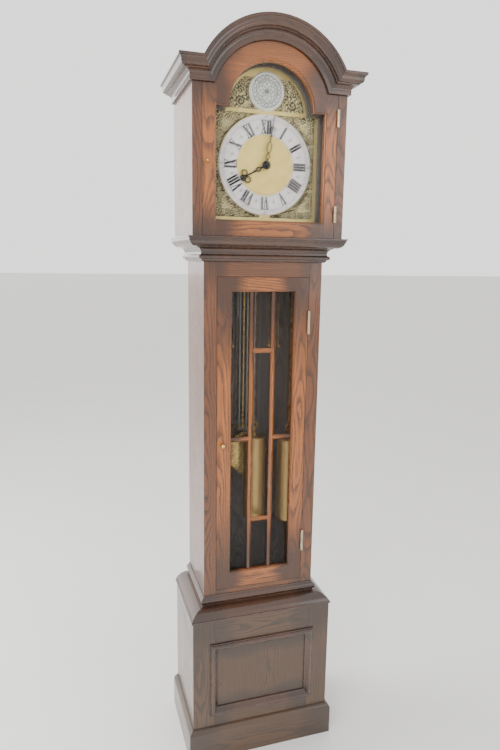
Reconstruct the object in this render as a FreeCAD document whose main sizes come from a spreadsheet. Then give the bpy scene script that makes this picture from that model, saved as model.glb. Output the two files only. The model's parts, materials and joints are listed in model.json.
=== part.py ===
import FreeCAD, Part
import math
import os
import re
from types import SimpleNamespace
from FreeCAD import Placement, Rotation, Vector

# A weight-driven tall case clock with a break-arch hood. +X is the clock's right as seen from the front,
# the front faces -Y, and the origin is on the floor under the middle of its bounding box.

# Driving sizes in millimetres; names that end in Teeth are counts, in Angle degrees and in Share shares.
SIZES = {
    # boards of the case
    "sideThickness": 16, "frontThickness": 20, "backThickness": 12, "seatThickness": 22,
    "joinGap": 0.8, "slideGap": 0.3, "runningGap": 0.05, "cutOver": 5,
    # base and plinth, with the steps by which the base is wider and deeper than the trunk
    "baseWidthStep": 87, "baseDepthStep": 47.5, "baseTop": 452.5, "baseLift": 12, "bottomHeight": 60,
    "bottomThickness": 12, "blockSize": 28,
    "plinthHeight": 103, "plinthProjection": 13,
    "baseMouldHeight": 58.5, "baseMouldProjection": 48,
    "panelSideMargin": 51.5, "panelFootMargin": 37, "panelHeadMargin": 72.5, "panelMouldWidth": 24,
    "panelMouldProjection": 10, "panelMouldSink": 6, "panelMouldLap": 14,
    "panelThickness": 11, "panelFieldRaise": 4, "panelBevel": 24,
    # trunk
    "trunkWidth": 344, "trunkDepth": 215, "trunkLap": 12.5, "trunkHeight": 1107.5, "cheekRise": 65,
    "trunkStile": 37.3, "trunkFootRail": 15.5, "trunkHeadRail": 40.5,
    "trunkDoorStile": 42.9, "trunkDoorFootRail": 51.5, "trunkDoorHeadRail": 40.5,
    "barWidth": 12.5, "barDepth": 10, "barOffset": 32,
    "sideBarShare": 0.491, "upperBarShare": 0.8012, "lowerBarShare": 0.1892,
    "waistHeight": 66, "waistProjection": 52,
    # hood
    "hoodWidthStep": 78, "hoodDepthStep": 40, "hoodStile": 26.3,
    "corniceHeight": 52, "corniceProjection": 38.5, "archShare": 0.7673, "archDrop": 50.4,
    "roofRise": 45.1, "roofThickness": 5, "topThickness": 8, "railDepth": 12, "railLap": 11.9,
    "earDrop": 7,
    "hoodDoorStile": 37.2, "hoodDoorFootRail": 41.8, "hoodDoorArchRail": 47.2, "hoodShoulderDrop": 2.6,
    "edgeStep": 1.5, "edgeStepWidth": 3, "edgeRound": 5, "glassThickness": 3, "glassLap": 5,
    "rebateDepth": 7,
    # hinges and catches
    "leafThickness": 1.5, "leafReach": 14, "knuckleRadius": 4, "pinRadius": 1.6,
    "trunkHingeLength": 66, "trunkHingeInset": 95, "hoodHingeLength": 44, "hoodHingeFootInset": 41.8,
    "hoodHingeHeadInset": 38,
    "trunkCatchInset": 17.2, "trunkCatchDrop": 13, "hoodCatchInset": 12.7, "hoodCatchDrop": 4.2,
    "trunkKnobRadius": 7, "hoodKnobRadius": 4.5, "catchWidth": 7, "catchThickness": 2.5,
    # dial
    "dialSideLap": 5, "dialFootLap": 5.3, "dialHeadLap": 23.7, "dialSetBackShare": 0.233721,
    "dialThickness": 2.5,
    "dialArchLap": 4.5, "dialArchRise": 4.4, "ringMargin": 23.5, "ringWidth": 50.4, "ringThickness": 1.5,
    "bossRiseShare": 0.461017, "bossRadiusShare": 0.411017, "bossThickness": 3, "spandrelThickness": 2.5,
    "spandrelSideMargin": 14.5, "spandrelHeadMargin": 23.2, "spandrelFootMargin": 16.5,
    "archSpandrelRise": 8.4, "archSpandrelHeight": 78, "archSpandrelMargin": 12,
    "maskThickness": 5, "maskStep": 1, "dialHole": 6,
    # hands
    "minuteLengthShare": 0.968992, "hourLengthShare": 0.682171, "handThickness": 1.3, "hourHandStand": 4.5,
    "minuteHandStand": 9.5, "minuteAngle": 9, "hourAngle": 240.75, "collarRadius": 7.5,
    "domeRadius": 10.3, "domeHeight": 5.5,
    # movement frame, whose depth follows the trunk's and whose width follows the weights' spacing
    "plateHalfShare": 1.189189, "plateHeadMargin": 15, "plateThickness": 4, "plateSpacingShare": 0.306977,
    "dialFootShare": 0.1, "seatSetBack": 7.25,
    "pillarRadius": 6, "pillarInset": 12, "arborRadius": 2.5, "pivotRadius": 1.2,
    # going train and motion work, with modules as shares of the great wheel's
    "moduleShare": 0.00720721, "thirdModuleShare": 0.875, "motionModuleShare": 1.125,
    "greatTeeth": 96, "centreLeaves": 6, "centreTeeth": 64, "thirdLeaves": 8, "thirdTeeth": 62,
    "escapeLeaves": 8, "escapeTeeth": 30, "escapeRadiusShare": 25, "thirdAsideShare": 5.6745,
    "strikeTeeth": 70, "wheelThickness": 2.2, "pinionLength": 7,
    "cannonTeeth": 30, "motionLeaves": 6, "hourTeeth": 72,
    "cannonRadius": 3.1, "hourPipeRadius": 4.6,
    # pendulum
    "pendulumLength": 931, "bobRadius": 68, "bobThickness": 32, "bobRim": 3, "bobClearance": 8,
    "pendulumGapShare": 0.217442, "rodRadius": 3, "gridHalf": 24, "gridDrop": 335,
    "gridBarHeight": 8, "nutRadius": 9, "nutHeight": 8, "springHalf": 4.5, "springThickness": 0.6,
    # weights and chains, with the weights' heights measured down from the dial's centre
    "chainShare": 0.484848, "weightSpacingShare": 0.711538, "weightRadiusShare": 0.160465,
    "weightLength": 261,
    "goingWeightDrop": 1033.2, "strikeWeightDrop": 1043.2, "chimeWeightDrop": 1049.2, "capLip": 0.8,
    "capHeight": 6, "hookRise": 24, "hookRadius": 9, "hookWire": 2.4,
    "chainWheelShare": 0.184685, "chainRadius": 2, "flangeLip": 4.5, "chainWheelWidth": 10,
    "freeEndDrop": 498.2, "ringRadius": 6, "ringWire": 1.6,
    # chime
    "rodSpacing": 20, "chimeRodRadius": 3, "chimeRodBehind": 26, "blockDrop": 116, "blockHeight": 30,
    "blockDepth": 22, "longRod": 400, "rodStep": 24, "hammerRise": 12,
    "hammerArborBehind": 46, "hammerLength": 34, "hammerHeadRadius": 5, "hammerHeadLength": 9,
    "screwHoleRadius": 2.75, "screwHoleX": 110, "screwHoleDrop": 210,
}

# Sizes worked out from those above, kept as formulas in the same sheet.
FORMULAS = {
    # depths
    "hoodDepth": "trunkDepth + hoodDepthStep",
    "baseDepth": "trunkDepth + baseDepthStep",
    "backPlane": "(hoodDepth + corniceProjection) / 2",
    "trunkFront": "backPlane - trunkDepth",
    "hoodFront": "backPlane - hoodDepth",
    "baseFront": "backPlane - baseDepth",
    "boardFace": "backPlane - backThickness",
    # widths
    "hoodWidth": "trunkWidth + hoodWidthStep",
    "baseWidth": "trunkWidth + baseWidthStep",
    "trunkHalf": "trunkWidth / 2",
    "trunkInner": "trunkWidth / 2 - sideThickness",
    "hoodHalf": "hoodWidth / 2",
    "hoodInner": "hoodWidth / 2 - sideThickness",
    "baseHalf": "baseWidth / 2",
    "baseInner": "baseWidth / 2 - sideThickness",
    "trunkDoorHalf": "trunkHalf - trunkStile",
    "trunkLightHalf": "trunkDoorHalf - trunkDoorStile",
    "hoodDoorHalf": "hoodHalf - hoodStile",
    "hoodLightHalf": "hoodDoorHalf - hoodDoorStile",
    # base panel
    "panelMouldHalf": "baseHalf - panelSideMargin",
    "panelMouldLow": "plinthHeight + panelFootMargin",
    "panelMouldHigh": "baseTop - panelHeadMargin",
    "fieldRise": "panelThickness + panelFieldRaise",
    # heights of the trunk
    "trunkFoot": "baseTop - trunkLap",
    "trunkTop": "baseTop + trunkHeight",
    "cheekTop": "trunkTop + cheekRise",
    "trunkDoorLow": "baseTop + baseMouldHeight + trunkFootRail",
    "trunkDoorHigh": "trunkTop - waistHeight - trunkHeadRail",
    "trunkLightLow": "trunkDoorLow + trunkDoorFootRail",
    "trunkLightHigh": "trunkDoorHigh - trunkDoorHeadRail",
    "sideBarHeight": "trunkLightLow + sideBarShare * (trunkLightHigh - trunkLightLow)",
    "upperBarHeight": "trunkLightLow + upperBarShare * (trunkLightHigh - trunkLightLow)",
    "lowerBarHeight": "trunkLightLow + lowerBarShare * (trunkLightHigh - trunkLightLow)",
    "screwHoleHeight": "trunkTop - screwHoleDrop",
    # heights of the hood, which follow the dial's
    "hoodBottom": "trunkTop + slideGap",
    "hoodDoorLow": "hoodBottom + 3 * slideGap",
    "hoodLightLow": "hoodDoorLow + hoodDoorFootRail",
    "dialHalf": "hoodLightHalf + dialSideLap",
    "dialCentre": "hoodLightLow - dialFootLap + dialHalf",
    "hoodLightShoulder": "dialCentre + dialHalf - dialHeadLap",
    "archCentre": "hoodLightShoulder + hoodShoulderDrop",
    "corniceBottom": "archCentre + archDrop",
    "corniceTop": "corniceBottom + corniceHeight",
    "archInnerRadius": "archShare * hoodHalf",
    "archOuterRadius": "archInnerRadius + corniceHeight",
    "headRadius": "archInnerRadius - joinGap / 2",
    "doorHeadRadius": "headRadius - joinGap",
    "roofRadius": "archInnerRadius + roofRise",
    "railRadius": "archInnerRadius - railLap",
    "earTop": "corniceBottom - earDrop",
    "hoodLightRadius": "doorHeadRadius - hoodDoorArchRail",
    "hoodHingeLow": "hoodDoorLow + hoodHingeFootInset",
    "hoodHingeHigh": "corniceBottom - hoodHingeHeadInset - hoodHingeLength",
    # dial and mask
    "dialArchRadius": "hoodLightRadius + dialArchLap",
    "dialArchCentre": "archCentre + dialArchRise",
    "dialFace": "hoodFront + dialSetBackShare * trunkDepth",
    "dialRear": "dialFace + dialThickness",
    "ringOuter": "dialHalf - ringMargin",
    "ringInner": "ringOuter - ringWidth",
    "minuteLength": "minuteLengthShare * ringOuter",
    "hourLength": "hourLengthShare * ringOuter",
    "bossHeight": "archCentre + bossRiseShare * dialArchRadius",
    "bossRadius": "bossRadiusShare * dialArchRadius",
    "spandrelHalf": "dialHalf - spandrelSideMargin",
    "spandrelTop": "dialHalf - spandrelHeadMargin",
    "spandrelBottom": "dialHalf - spandrelFootMargin",
    "archSpandrelLow": "archCentre + archSpandrelRise",
    "archSpandrelHigh": "archSpandrelLow + archSpandrelHeight",
    "archSpandrelRadius": "dialArchRadius - archSpandrelMargin",
    "maskHalf": "hoodLightHalf",
    "maskLow": "hoodLightLow - maskStep",
    "maskShoulder": "hoodLightShoulder + maskStep",
    "maskRadius": "hoodLightRadius - maskStep",
    # catches
    "trunkCatchX": "trunkCatchInset - trunkDoorHalf",
    "trunkCatchHeight": "(trunkDoorLow + trunkDoorHigh) / 2 - trunkCatchDrop",
    "hoodCatchX": "hoodCatchInset - hoodDoorHalf",
    "hoodCatchHeight": "dialCentre - hoodCatchDrop",
    # movement
    "weightSpacing": "weightSpacingShare * trunkInner",
    "chainWheelRadius": "chainWheelShare * weightSpacing",
    "flangeRadius": "chainWheelRadius + flangeLip",
    "module": "moduleShare * weightSpacing",
    "thirdModule": "thirdModuleShare * module",
    "motionModule": "motionModuleShare * module",
    "escapeRadius": "escapeRadiusShare * module",
    "thirdAside": "thirdAsideShare * module",
    "plateHalf": "plateHalfShare * weightSpacing",
    "plateSpacing": "plateSpacingShare * trunkDepth",
    "dialFootLength": "dialFootShare * trunkDepth",
    "frontPlate": "dialRear + dialFootLength",
    "trainFront": "frontPlate + plateThickness",
    "backPlate": "trainFront + plateSpacing",
    "plateFoot": "cheekTop + seatThickness",
    "centreToThird": "(centreTeeth + thirdLeaves) * module / 2",
    "thirdToEscape": "(thirdTeeth + escapeLeaves) * thirdModule / 2",
    "thirdHeight": "dialCentre + sqrt(centreToThird ^ 2 - thirdAside ^ 2)",
    "escapeHeight": "thirdHeight + sqrt(thirdToEscape ^ 2 - thirdAside ^ 2)",
    "pendulumRise": "escapeHeight + escapeRadius * sqrt(2)",
    "plateTop": "pendulumRise + plateHeadMargin",
    # pendulum, weights, chains and chime
    "pendulumPlane": "backPlate + plateThickness + pendulumGapShare * trunkDepth",
    "bobHeight": "pendulumRise - pendulumLength",
    "gridTop": "pendulumRise - gridDrop",
    "gridBottom": "bobHeight + bobRadius + bobClearance",
    "chainPlane": "trainFront + chainShare * plateSpacing",
    "weightRadius": "weightRadiusShare * trunkDepth",
    "capRadius": "weightRadius + capLip",
    "goingWeightLow": "dialCentre - goingWeightDrop",
    "strikeWeightLow": "dialCentre - strikeWeightDrop",
    "chimeWeightLow": "dialCentre - chimeWeightDrop",
    "freeEndHeight": "dialCentre - freeEndDrop",
    "chimeRodPlane": "backPlane - chimeRodBehind",
    "hammerPlane": "backPlane - hammerArborBehind",
    "blockTop": "plateTop - blockDrop",
    "hammerArborHeight": "blockTop - blockHeight + hammerRise",
}

doc = FreeCAD.newDocument("tall_case_clock")
sheet = doc.addObject("Spreadsheet::Sheet", "Sizes")
cells = [(alias, str(value)) for alias, value in SIZES.items()]
cells += [(alias, "=" + formula) for alias, formula in FORMULAS.items()]
for row, (alias, content) in enumerate(cells, start=1):
    sheet.set("A%d" % row, alias)
    sheet.set("B%d" % row, content)
    sheet.setAlias("B%d" % row, alias)
doc.recompute()
size = SimpleNamespace(**{alias: float(sheet.get(alias)) for alias, content in cells})

EAST = Vector(1, 0, 0)
NORTH = Vector(0, 1, 0)
UP = Vector(0, 0, 1)
subParts = {}


def formula(text):
    """Point every size name in a formula at the sheet."""
    return re.sub(r"[A-Za-z]\w*", lambda word: "Sizes." + word.group(0), str(text))


def bind(item, **properties):
    for name, text in properties.items():
        item.setExpression(name.replace("_", "."), formula(text))


def place(item, x=0, y=0, z=0, rotation=None):
    """Put an object at a point given by three formulas, turned by a fixed rotation."""
    if rotation:
        item.Placement = Placement(Vector(), rotation)
    bind(item, Placement_Base_x=x, Placement_Base_y=y, Placement_Base_z=z)
    return item


def keep(node, item):
    """Name an object as a finished sub-part."""
    item.Label = node
    subParts[node] = item
    return item


def block(name, x, y, z, length, width, height):
    """A squared board with its low corner at x, y, z."""
    item = doc.addObject("Part::Box", name)
    bind(item, Length=length, Width=width, Height=height)
    return place(item, x, y, z)


def dowel(name, radius, length, x, y, z, along=UP):
    """A round bar from a point, along an axis."""
    item = doc.addObject("Part::Cylinder", name)
    bind(item, Radius=radius, Height=length)
    return place(item, x, y, z, Rotation(UP, along))


def joined(kind, name, parts):
    item = doc.addObject(kind, name)
    if kind == "Part::Compound":
        item.Links = parts
    else:
        item.Shapes = parts
    return item


def fused(name, parts):
    return joined("Part::MultiFuse", name, parts)


def grouped(name, parts):
    return joined("Part::Compound", name, parts)


def without(name, base, tools):
    tool = tools[0] if len(tools) == 1 else fused(name + "_tools", tools)
    item = doc.addObject("Part::Cut", name)
    item.Base = base
    item.Tool = tool
    return item


def shaped(node, shape):
    """A sub-part whose form no primitive or sketch feature gives."""
    item = doc.addObject("Part::Feature", node)
    item.Shape = shape
    return keep(node, item)


def flat(points):
    """Sketch geometry round a closed outline. A point may be (x, y), or a pair of points for an arc's
    middle and end."""
    start = points[0]
    geometry = []
    here = Vector(start[0], start[1], 0)
    for step in list(points[1:]) + [start]:
        if isinstance(step[0], tuple):
            middle, end = (Vector(p[0], p[1], 0) for p in step)
            geometry.append(Part.Arc(here, middle, end))
        else:
            end = Vector(step[0], step[1], 0)
            if end.distanceToPoint(here) > Part.Precision.confusion():
                geometry.append(Part.LineSegment(here, end))
        here = end
    return geometry


def rectangle(x0, y0, x1, y1):
    return [(x0, y0), (x1, y0), (x1, y1), (x0, y1)]


def mirrored(points):
    return [(-x, y) for x, y in reversed(points)]


def body(name):
    return doc.addObject("PartDesign::Body", name)


def sketch(owner, role, outlines, offset=0):
    """A sketch on one of a body's own planes, holding closed outlines."""
    item = owner.newObject("Sketcher::SketchObject", owner.Name + "_sketch")
    support = [plane for plane in owner.Origin.OriginFeatures if plane.Role == role][0]
    item.AttachmentSupport = [(support, "")]
    item.MapMode = "FlatFace"
    item.AttachmentOffset = Placement(Vector(0, 0, offset), Rotation())
    for outline in outlines:
        item.addGeometry(flat(outline), False)
    item.Visibility = False
    return item


def pad(owner, role, outlines, length, middle=False):
    item = owner.newObject("PartDesign::Pad", owner.Name + "_pad")
    item.Profile = sketch(owner, role, outlines)
    bind(item, Length=length)
    item.Midplane = middle
    doc.recompute()
    return item


def pocket(owner, role, outlines, depth=None, offset=0, flip=False):
    """Cut outlines out of a body, right through it unless a depth is given."""
    before = owner.Shape.Volume
    item = owner.newObject("PartDesign::Pocket", owner.Name + "_pocket")
    item.Profile = sketch(owner, role, outlines, offset)
    if depth is None:
        item.Type = "ThroughAll"
        item.Midplane = True
    else:
        bind(item, Length=depth)
        item.Reversed = flip
    doc.recompute()
    if not owner.Shape.Volume < before:
        raise ValueError("the pocket cuts nothing: " + item.Name)
    return item


def dressed(owner, kind, accept, amount):
    """Round or chamfer the edges that a test accepts."""
    tip = owner.Tip
    names = ["Edge%d" % (number + 1) for number, edge in enumerate(tip.Shape.Edges) if accept(edge)]
    item = owner.newObject(kind, owner.Name + "_edge")
    item.Base = (tip, names)
    if kind == "PartDesign::Fillet":
        bind(item, Radius=amount)
    else:
        item.ChamferType = "Two distances"
        bind(item, Size=amount[0], Size2=amount[1])
    doc.recompute()
    return item


def turned(name, outline, role="XZ_Plane"):
    """A lathe-turned piece: the outline's second coordinate is along the body's Z axis."""
    owner = body(name)
    item = owner.newObject("PartDesign::Revolution", name + "_turn")
    profile = sketch(owner, role, [outline])
    item.Profile = profile
    item.ReferenceAxis = (profile, ["V_Axis"])
    item.Angle = 360
    doc.recompute()
    return owner


# Moulding sections as shares of projection and height, from the back at the bottom round to the back at
# the top. A pair of points is an arc: its middle and its end.
CORNICE_SHARES = [
    (0, 0), (0.18, 0), (0.18, 0.17), ((0.26, 0.37), (0.54, 0.44)), (0.58, 0.44), (0.58, 0.50),
    ((0.75, 0.54), (0.83, 0.66)), ((0.86, 0.79), (0.94, 0.87)), (1, 0.87), (1, 1), (0, 1),
]
WAIST_SHARES = [
    (0, 0), (0.04, 0), ((0.12, 0.03), (0.19, 0.12)), (0.23, 0.12), ((0.32, 0.20), (0.23, 0.28)),
    (0.20, 0.30), ((0.25, 0.50), (0.42, 0.58)), (0.45, 0.58), (0.45, 0.62), ((0.78, 0.67), (0.91, 0.83)),
    (0.94, 0.84), (0.95, 0.93), (1, 0.93), (1, 1), (0, 1),
]
BASE_MOULD_SHARES = [
    (0, 0), (1, 0), (1, 0.09), (0.96, 0.10), ((0.70, 0.36), (0.20, 0.48)), (0.09, 0.50), (0.09, 0.57),
    ((0.21, 0.75), (0.09, 0.92)), (0.05, 0.94), (0.04, 1), (0, 1),
]
PLINTH_SHARES = [(0, 0), (1, 0), (1, 0.81), ((0.72, 0.93), (0.10, 0.985)), (0.10, 1), (0, 1)]
# The panel moulding's section: shares of its projection, and of its width from the outer edge inwards.
PANEL_MOULD_SHARES = [(0, 0), (0.45, 0), (0.45, 0.14), ((0.93, 0.30), (0.86, 0.58)), ((0.30, 0.76), (-0.30, 1))]


def section(shares, projection, height, base=0):
    """An outline of a moulding against a wall on its left, with the wall at zero and outward negative."""
    def at(point):
        return (-point[0] * projection, base + point[1] * height)
    return [tuple(at(p) for p in step) if isinstance(step[0], tuple) else at(step) for step in shares]


def mitredRun(name, shares, projection, height, low, start, end, mitres):
    """A straight moulding along the body's X axis, from start to end on the wall, that grows by its
    projection at each end that is mitred. Its outer side faces -Y."""
    owner = body(name)
    reach = projection + size.cutOver
    left = start - reach if mitres[0] else start
    right = end + reach if mitres[1] else end
    run = pad(owner, "YZ_Plane", [section(shares, projection, height, low)], str(right - left))
    owner.Origin.Visibility = False
    run.Profile[0].AttachmentOffset = Placement(Vector(0, 0, left), Rotation())
    doc.recompute()
    if mitres[0]:
        pocket(owner, "XY_Plane", [[(start, 0), (left, -(start - left)), (left, 0)]])
    if mitres[1]:
        pocket(owner, "XY_Plane", [[(end, 0), (right, 0), (right, -(right - end))]])
    return owner


def threeSides(node, shares, projection, height, low, half, front):
    """A moulding round the front and both sides of a carcass, as three mitred pieces."""
    depth = size.backPlane - front
    first = mitredRun(node + "_front", shares, projection, height, low, -half, half, (True, True))
    first.Placement = Placement(Vector(0, front, 0), Rotation())
    right = mitredRun(node + "_right", shares, projection, height, low, 0, depth, (True, False))
    right.Placement = Placement(Vector(half, front, 0), Rotation(UP, 90))
    left = mitredRun(node + "_left", shares, projection, height, low, 0, depth, (False, True))
    left.Placement = Placement(Vector(-half, size.backPlane, 0), Rotation(UP, -90))
    return [first, right, left]


def archPoints(half, low, shoulder, radius, centre):
    """A break-arch outline: square sides, two shoulders and an arch."""
    rise = math.sqrt(max(radius ** 2 - (shoulder - centre) ** 2, 0))
    return [(-half, low), (half, low), (half, shoulder), (rise, shoulder),
            ((0, centre + radius), (-rise, shoulder)), (-half, shoulder)]


def makeBase():
    side = [block("base_side_" + name, x, "baseFront + frontThickness", "baseLift", "sideThickness",
                  "baseDepth - frontThickness", "baseTop - baseLift")
            for name, x in (("left", "-baseHalf"), ("right", "baseHalf - sideThickness"))]
    keep("base_sides", grouped("base_sides", side))
    opening = "(panelMouldHalf - panelMouldLap)"
    lowEdge = "(panelMouldLow + panelMouldLap)"
    highEdge = "(panelMouldHigh - panelMouldLap)"
    stiles = [block("base_stile_" + name, x, "baseFront", "baseLift", "baseHalf - " + opening,
                    "frontThickness", "baseTop - baseLift")
              for name, x in (("left", "-baseHalf"), ("right", opening))]
    rails = [block("base_rail_low", "-" + opening, "baseFront", "baseLift", "2 * " + opening,
                   "frontThickness", lowEdge + " - baseLift"),
             block("base_rail_high", "-" + opening, "baseFront", highEdge, "2 * " + opening,
                   "frontThickness", "baseTop - " + highEdge)]
    keep("base_front_frame", grouped("base_front_frame", stiles + rails))
    panel = body("base_panel")
    half = size.panelMouldHalf - size.panelMouldLap - size.joinGap
    low = size.panelMouldLow + size.panelMouldLap + size.joinGap
    high = size.panelMouldHigh - size.panelMouldLap - size.joinGap
    foot = (size.panelMouldHalf - size.panelMouldWidth - size.joinGap,
            size.panelMouldLow + size.panelMouldWidth + size.joinGap,
            size.panelMouldHigh - size.panelMouldWidth - size.joinGap)
    pad(panel, "XZ_Plane", [rectangle(-half, low, half, high)], "panelThickness")
    loft = panel.newObject("PartDesign::AdditiveLoft", "base_panel_field")
    levels = []
    for bevel, height in ((0, size.panelThickness), (size.panelBevel, size.fieldRise)):
        levels.append(sketch(panel, "XZ_Plane", [rectangle(-foot[0] + bevel, foot[1] + bevel,
                                                           foot[0] - bevel, foot[2] - bevel)], height))
    loft.Profile = levels[0]
    loft.Sections = [levels[1]]
    loft.Ruled = True
    doc.recompute()
    place(panel, 0, "baseFront + panelMouldSink + panelThickness", 0)
    keep("base_panel", panel)
    bottom = block("bottom_board_wood", "-baseInner", "baseFront + frontThickness", "bottomHeight",
                   "2 * baseInner", "baseDepth - frontThickness - backThickness", "bottomThickness")
    corners = [bottom]
    for index, x in enumerate(("-baseInner", "baseInner - blockSize")):
        corners.append(block("corner_block_%d" % index, x, "baseFront + frontThickness",
                             "bottomHeight + bottomThickness", "blockSize", "blockSize",
                             "trunkFoot - joinGap - bottomHeight - bottomThickness"))
    keep("base_bottom_board", grouped("base_bottom_board", corners))
    keep("plinth", grouped("plinth", threeSides("plinth", PLINTH_SHARES, size.plinthProjection,
                                                size.plinthHeight, 0, size.baseHalf, size.baseFront)))
    runs = threeSides("base_moulding", BASE_MOULD_SHARES, size.baseMouldProjection, size.baseMouldHeight,
                      size.baseTop, size.trunkHalf, size.trunkFront)
    keep("base_moulding", grouped("base_moulding", runs))


def makePanelMoulding():
    """Four runs round the base panel, mitred in the plane of the front like a picture frame."""
    width = size.panelMouldWidth
    lap = size.panelMouldLap / width
    sink = size.panelMouldSink / size.panelMouldProjection
    shares = PANEL_MOULD_SHARES + [(-sink, 1), (-sink, lap), (0, lap)]
    wide = size.panelMouldHalf
    tall = (size.panelMouldHigh - size.panelMouldLow) / 2
    middle = (size.panelMouldHigh + size.panelMouldLow) / 2
    runs = []
    for name, half, reach, turn in (("low", wide, tall, 0), ("right", tall, wide, 90),
                                    ("high", wide, tall, 180), ("left", tall, wide, 270)):
        owner = body("panel_moulding_" + name)
        pad(owner, "YZ_Plane", [section(shares, size.panelMouldProjection, width, -reach)], str(2 * half),
            middle=True)
        pocket(owner, "XZ_Plane", [[(-half, -reach), (-half + width, width - reach), (-half, width - reach)],
                                   [(half, -reach), (half, width - reach), (half - width, width - reach)]])
        owner.Placement = Placement(Vector(0, size.baseFront, middle), Rotation(NORTH, -turn))
        runs.append(owner)
    keep("base_panel_moulding", grouped("base_panel_moulding", runs))


def makeTrunk():
    sides = [block("trunk_side_" + name, x, "trunkFront + frontThickness", "trunkFoot", "sideThickness",
                   "trunkDepth - frontThickness", "cheekTop - trunkFoot")
             for name, x in (("left", "-trunkHalf"), ("right", "trunkInner"))]
    keep("trunk_sides", grouped("trunk_sides", sides))
    opening = "(trunkDoorHalf + joinGap)"
    stiles = [block("trunk_stile_" + name, x, "trunkFront", "trunkFoot", "trunkHalf - " + opening,
                    "frontThickness", "trunkTop - trunkFoot")
              for name, x in (("left", "-trunkHalf"), ("right", opening))]
    recesses = [block("stile_leaf_recess_%d" % index, opening, "trunkFront - cutOver", z,
                      "leafThickness", "leafReach + cutOver", "trunkHingeLength")
                for index, z in enumerate(("trunkDoorLow + trunkHingeInset",
                                           "trunkDoorHigh - trunkHingeInset - trunkHingeLength"))]
    stiles[1] = without("trunk_stile_right_cut", stiles[1], recesses)
    rails = [block("trunk_rail_low", "-" + opening, "trunkFront", "trunkFoot", "2 * " + opening,
                   "frontThickness", "trunkDoorLow - joinGap - trunkFoot"),
             block("trunk_rail_high", "-" + opening, "trunkFront", "trunkDoorHigh + joinGap",
                   "2 * " + opening, "frontThickness", "trunkTop - trunkDoorHigh - joinGap")]
    keep("trunk_front_frame", grouped("trunk_front_frame", stiles + rails))
    runs = threeSides("waist_moulding", WAIST_SHARES, size.waistProjection, size.waistHeight,
                      size.trunkTop - size.waistHeight, size.trunkHalf, size.trunkFront)
    keep("waist_moulding", grouped("waist_moulding", runs))


def makeBackboard():
    """One board the height of the case, arched at its top to fill the back of the hood, with ears."""
    owner = body("backboard_main")
    radius = size.railRadius - size.joinGap
    pad(owner, "XZ_Plane", [archPoints(size.trunkInner, size.baseLift, size.earTop, radius,
                                       size.archCentre)], "backThickness")
    x, z, hole = size.screwHoleX, size.screwHoleHeight, size.screwHoleRadius
    pocket(owner, "XZ_Plane", [[(x - hole, z), ((x, z + hole), (x + hole, z)),
                                ((x, z - hole), (x - hole, z))]])
    place(owner, 0, "backPlane", 0)
    parts = [owner]
    for name, sign in (("left", -1), ("right", 1)):
        ear = body("backboard_ear_" + name)
        outer = size.hoodInner - size.slideGap
        outline = [(size.trunkInner, size.cheekTop), (size.trunkHalf, size.cheekTop),
                   (size.trunkHalf, size.hoodBottom), (outer, size.hoodBottom), (outer, size.earTop),
                   (size.trunkInner, size.earTop)]
        pad(ear, "XZ_Plane", [[(sign * x, z) for x, z in outline]], "backThickness")
        place(ear, 0, "backPlane", 0)
        parts.append(ear)
    for name, x in (("left", "-baseInner"), ("right", "trunkInner")):
        parts.append(block("base_back_" + name, x, "boardFace", "bottomHeight + bottomThickness",
                           "baseInner - trunkInner", "backThickness",
                           "trunkFoot - bottomHeight - bottomThickness"))
    keep("backboard", grouped("backboard", parts))


def makeSeatboard():
    owner = body("seatboard")
    front = size.dialRear + size.seatSetBack
    back = size.hammerPlane - size.blockDepth / 2
    slotHalf = size.chainRadius * 2 + size.slideGap
    outlines = [rectangle(-size.trunkHalf, front, size.trunkHalf, back)]
    for x in chainCentres.values():
        reach = size.chainWheelRadius + slotHalf
        outlines.append(rectangle(x - reach, size.chainPlane - slotHalf, x + reach,
                                  size.chainPlane + slotHalf))
    pad(owner, "XY_Plane", outlines, "seatThickness")
    notch = size.springHalf * 4
    pocket(owner, "XY_Plane", [rectangle(-notch, size.backPlate + size.plateThickness * 2,
                                         notch, back + size.cutOver)])
    place(owner, 0, 0, "cheekTop")
    keep("seatboard", owner)


def makeHood():
    sides = [block("hood_side_" + name, x, "hoodFront + frontThickness", "hoodBottom", "sideThickness",
                   "hoodDepth - frontThickness", "corniceTop - topThickness - hoodBottom")
             for name, x in (("left", "-hoodHalf"), ("right", "hoodInner"))]
    keep("hood_sides", grouped("hood_sides", sides))
    edge = "(hoodDoorHalf + joinGap)"
    stiles = [block("hood_stile_" + name, x, "hoodFront", "hoodBottom", "hoodHalf - " + edge,
                    "frontThickness", "corniceBottom - hoodBottom")
              for name, x in (("left", "-hoodHalf"), ("right", edge))]
    recesses = [block("hood_leaf_recess_%d" % index, edge, "hoodFront - cutOver", z, "leafThickness",
                      "leafReach + cutOver", "hoodHingeLength")
                for index, z in enumerate(("hoodHingeLow", "hoodHingeHigh"))]
    stiles[1] = without("hood_stile_right_cut", stiles[1], recesses)
    head = body("hood_head_board")
    roofInner = size.roofRadius - size.roofThickness
    shoulder = size.corniceTop - size.topThickness
    reach = math.sqrt(roofInner ** 2 - (shoulder - size.archCentre) ** 2)
    inner = math.sqrt(size.headRadius ** 2 - (size.corniceBottom - size.archCentre) ** 2)
    pad(head, "XZ_Plane", [[
        (-size.hoodHalf, size.corniceBottom), (-inner, size.corniceBottom),
        ((0, size.archCentre + size.headRadius), (inner, size.corniceBottom)),
        (size.hoodHalf, size.corniceBottom), (size.hoodHalf, shoulder), (reach, shoulder),
        ((0, size.archCentre + roofInner), (-reach, shoulder)), (-size.hoodHalf, shoulder)]],
        "frontThickness")
    place(head, 0, "hoodFront + frontThickness", 0)
    keep("hood_front_frame", grouped("hood_front_frame", stiles + [head]))


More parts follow.
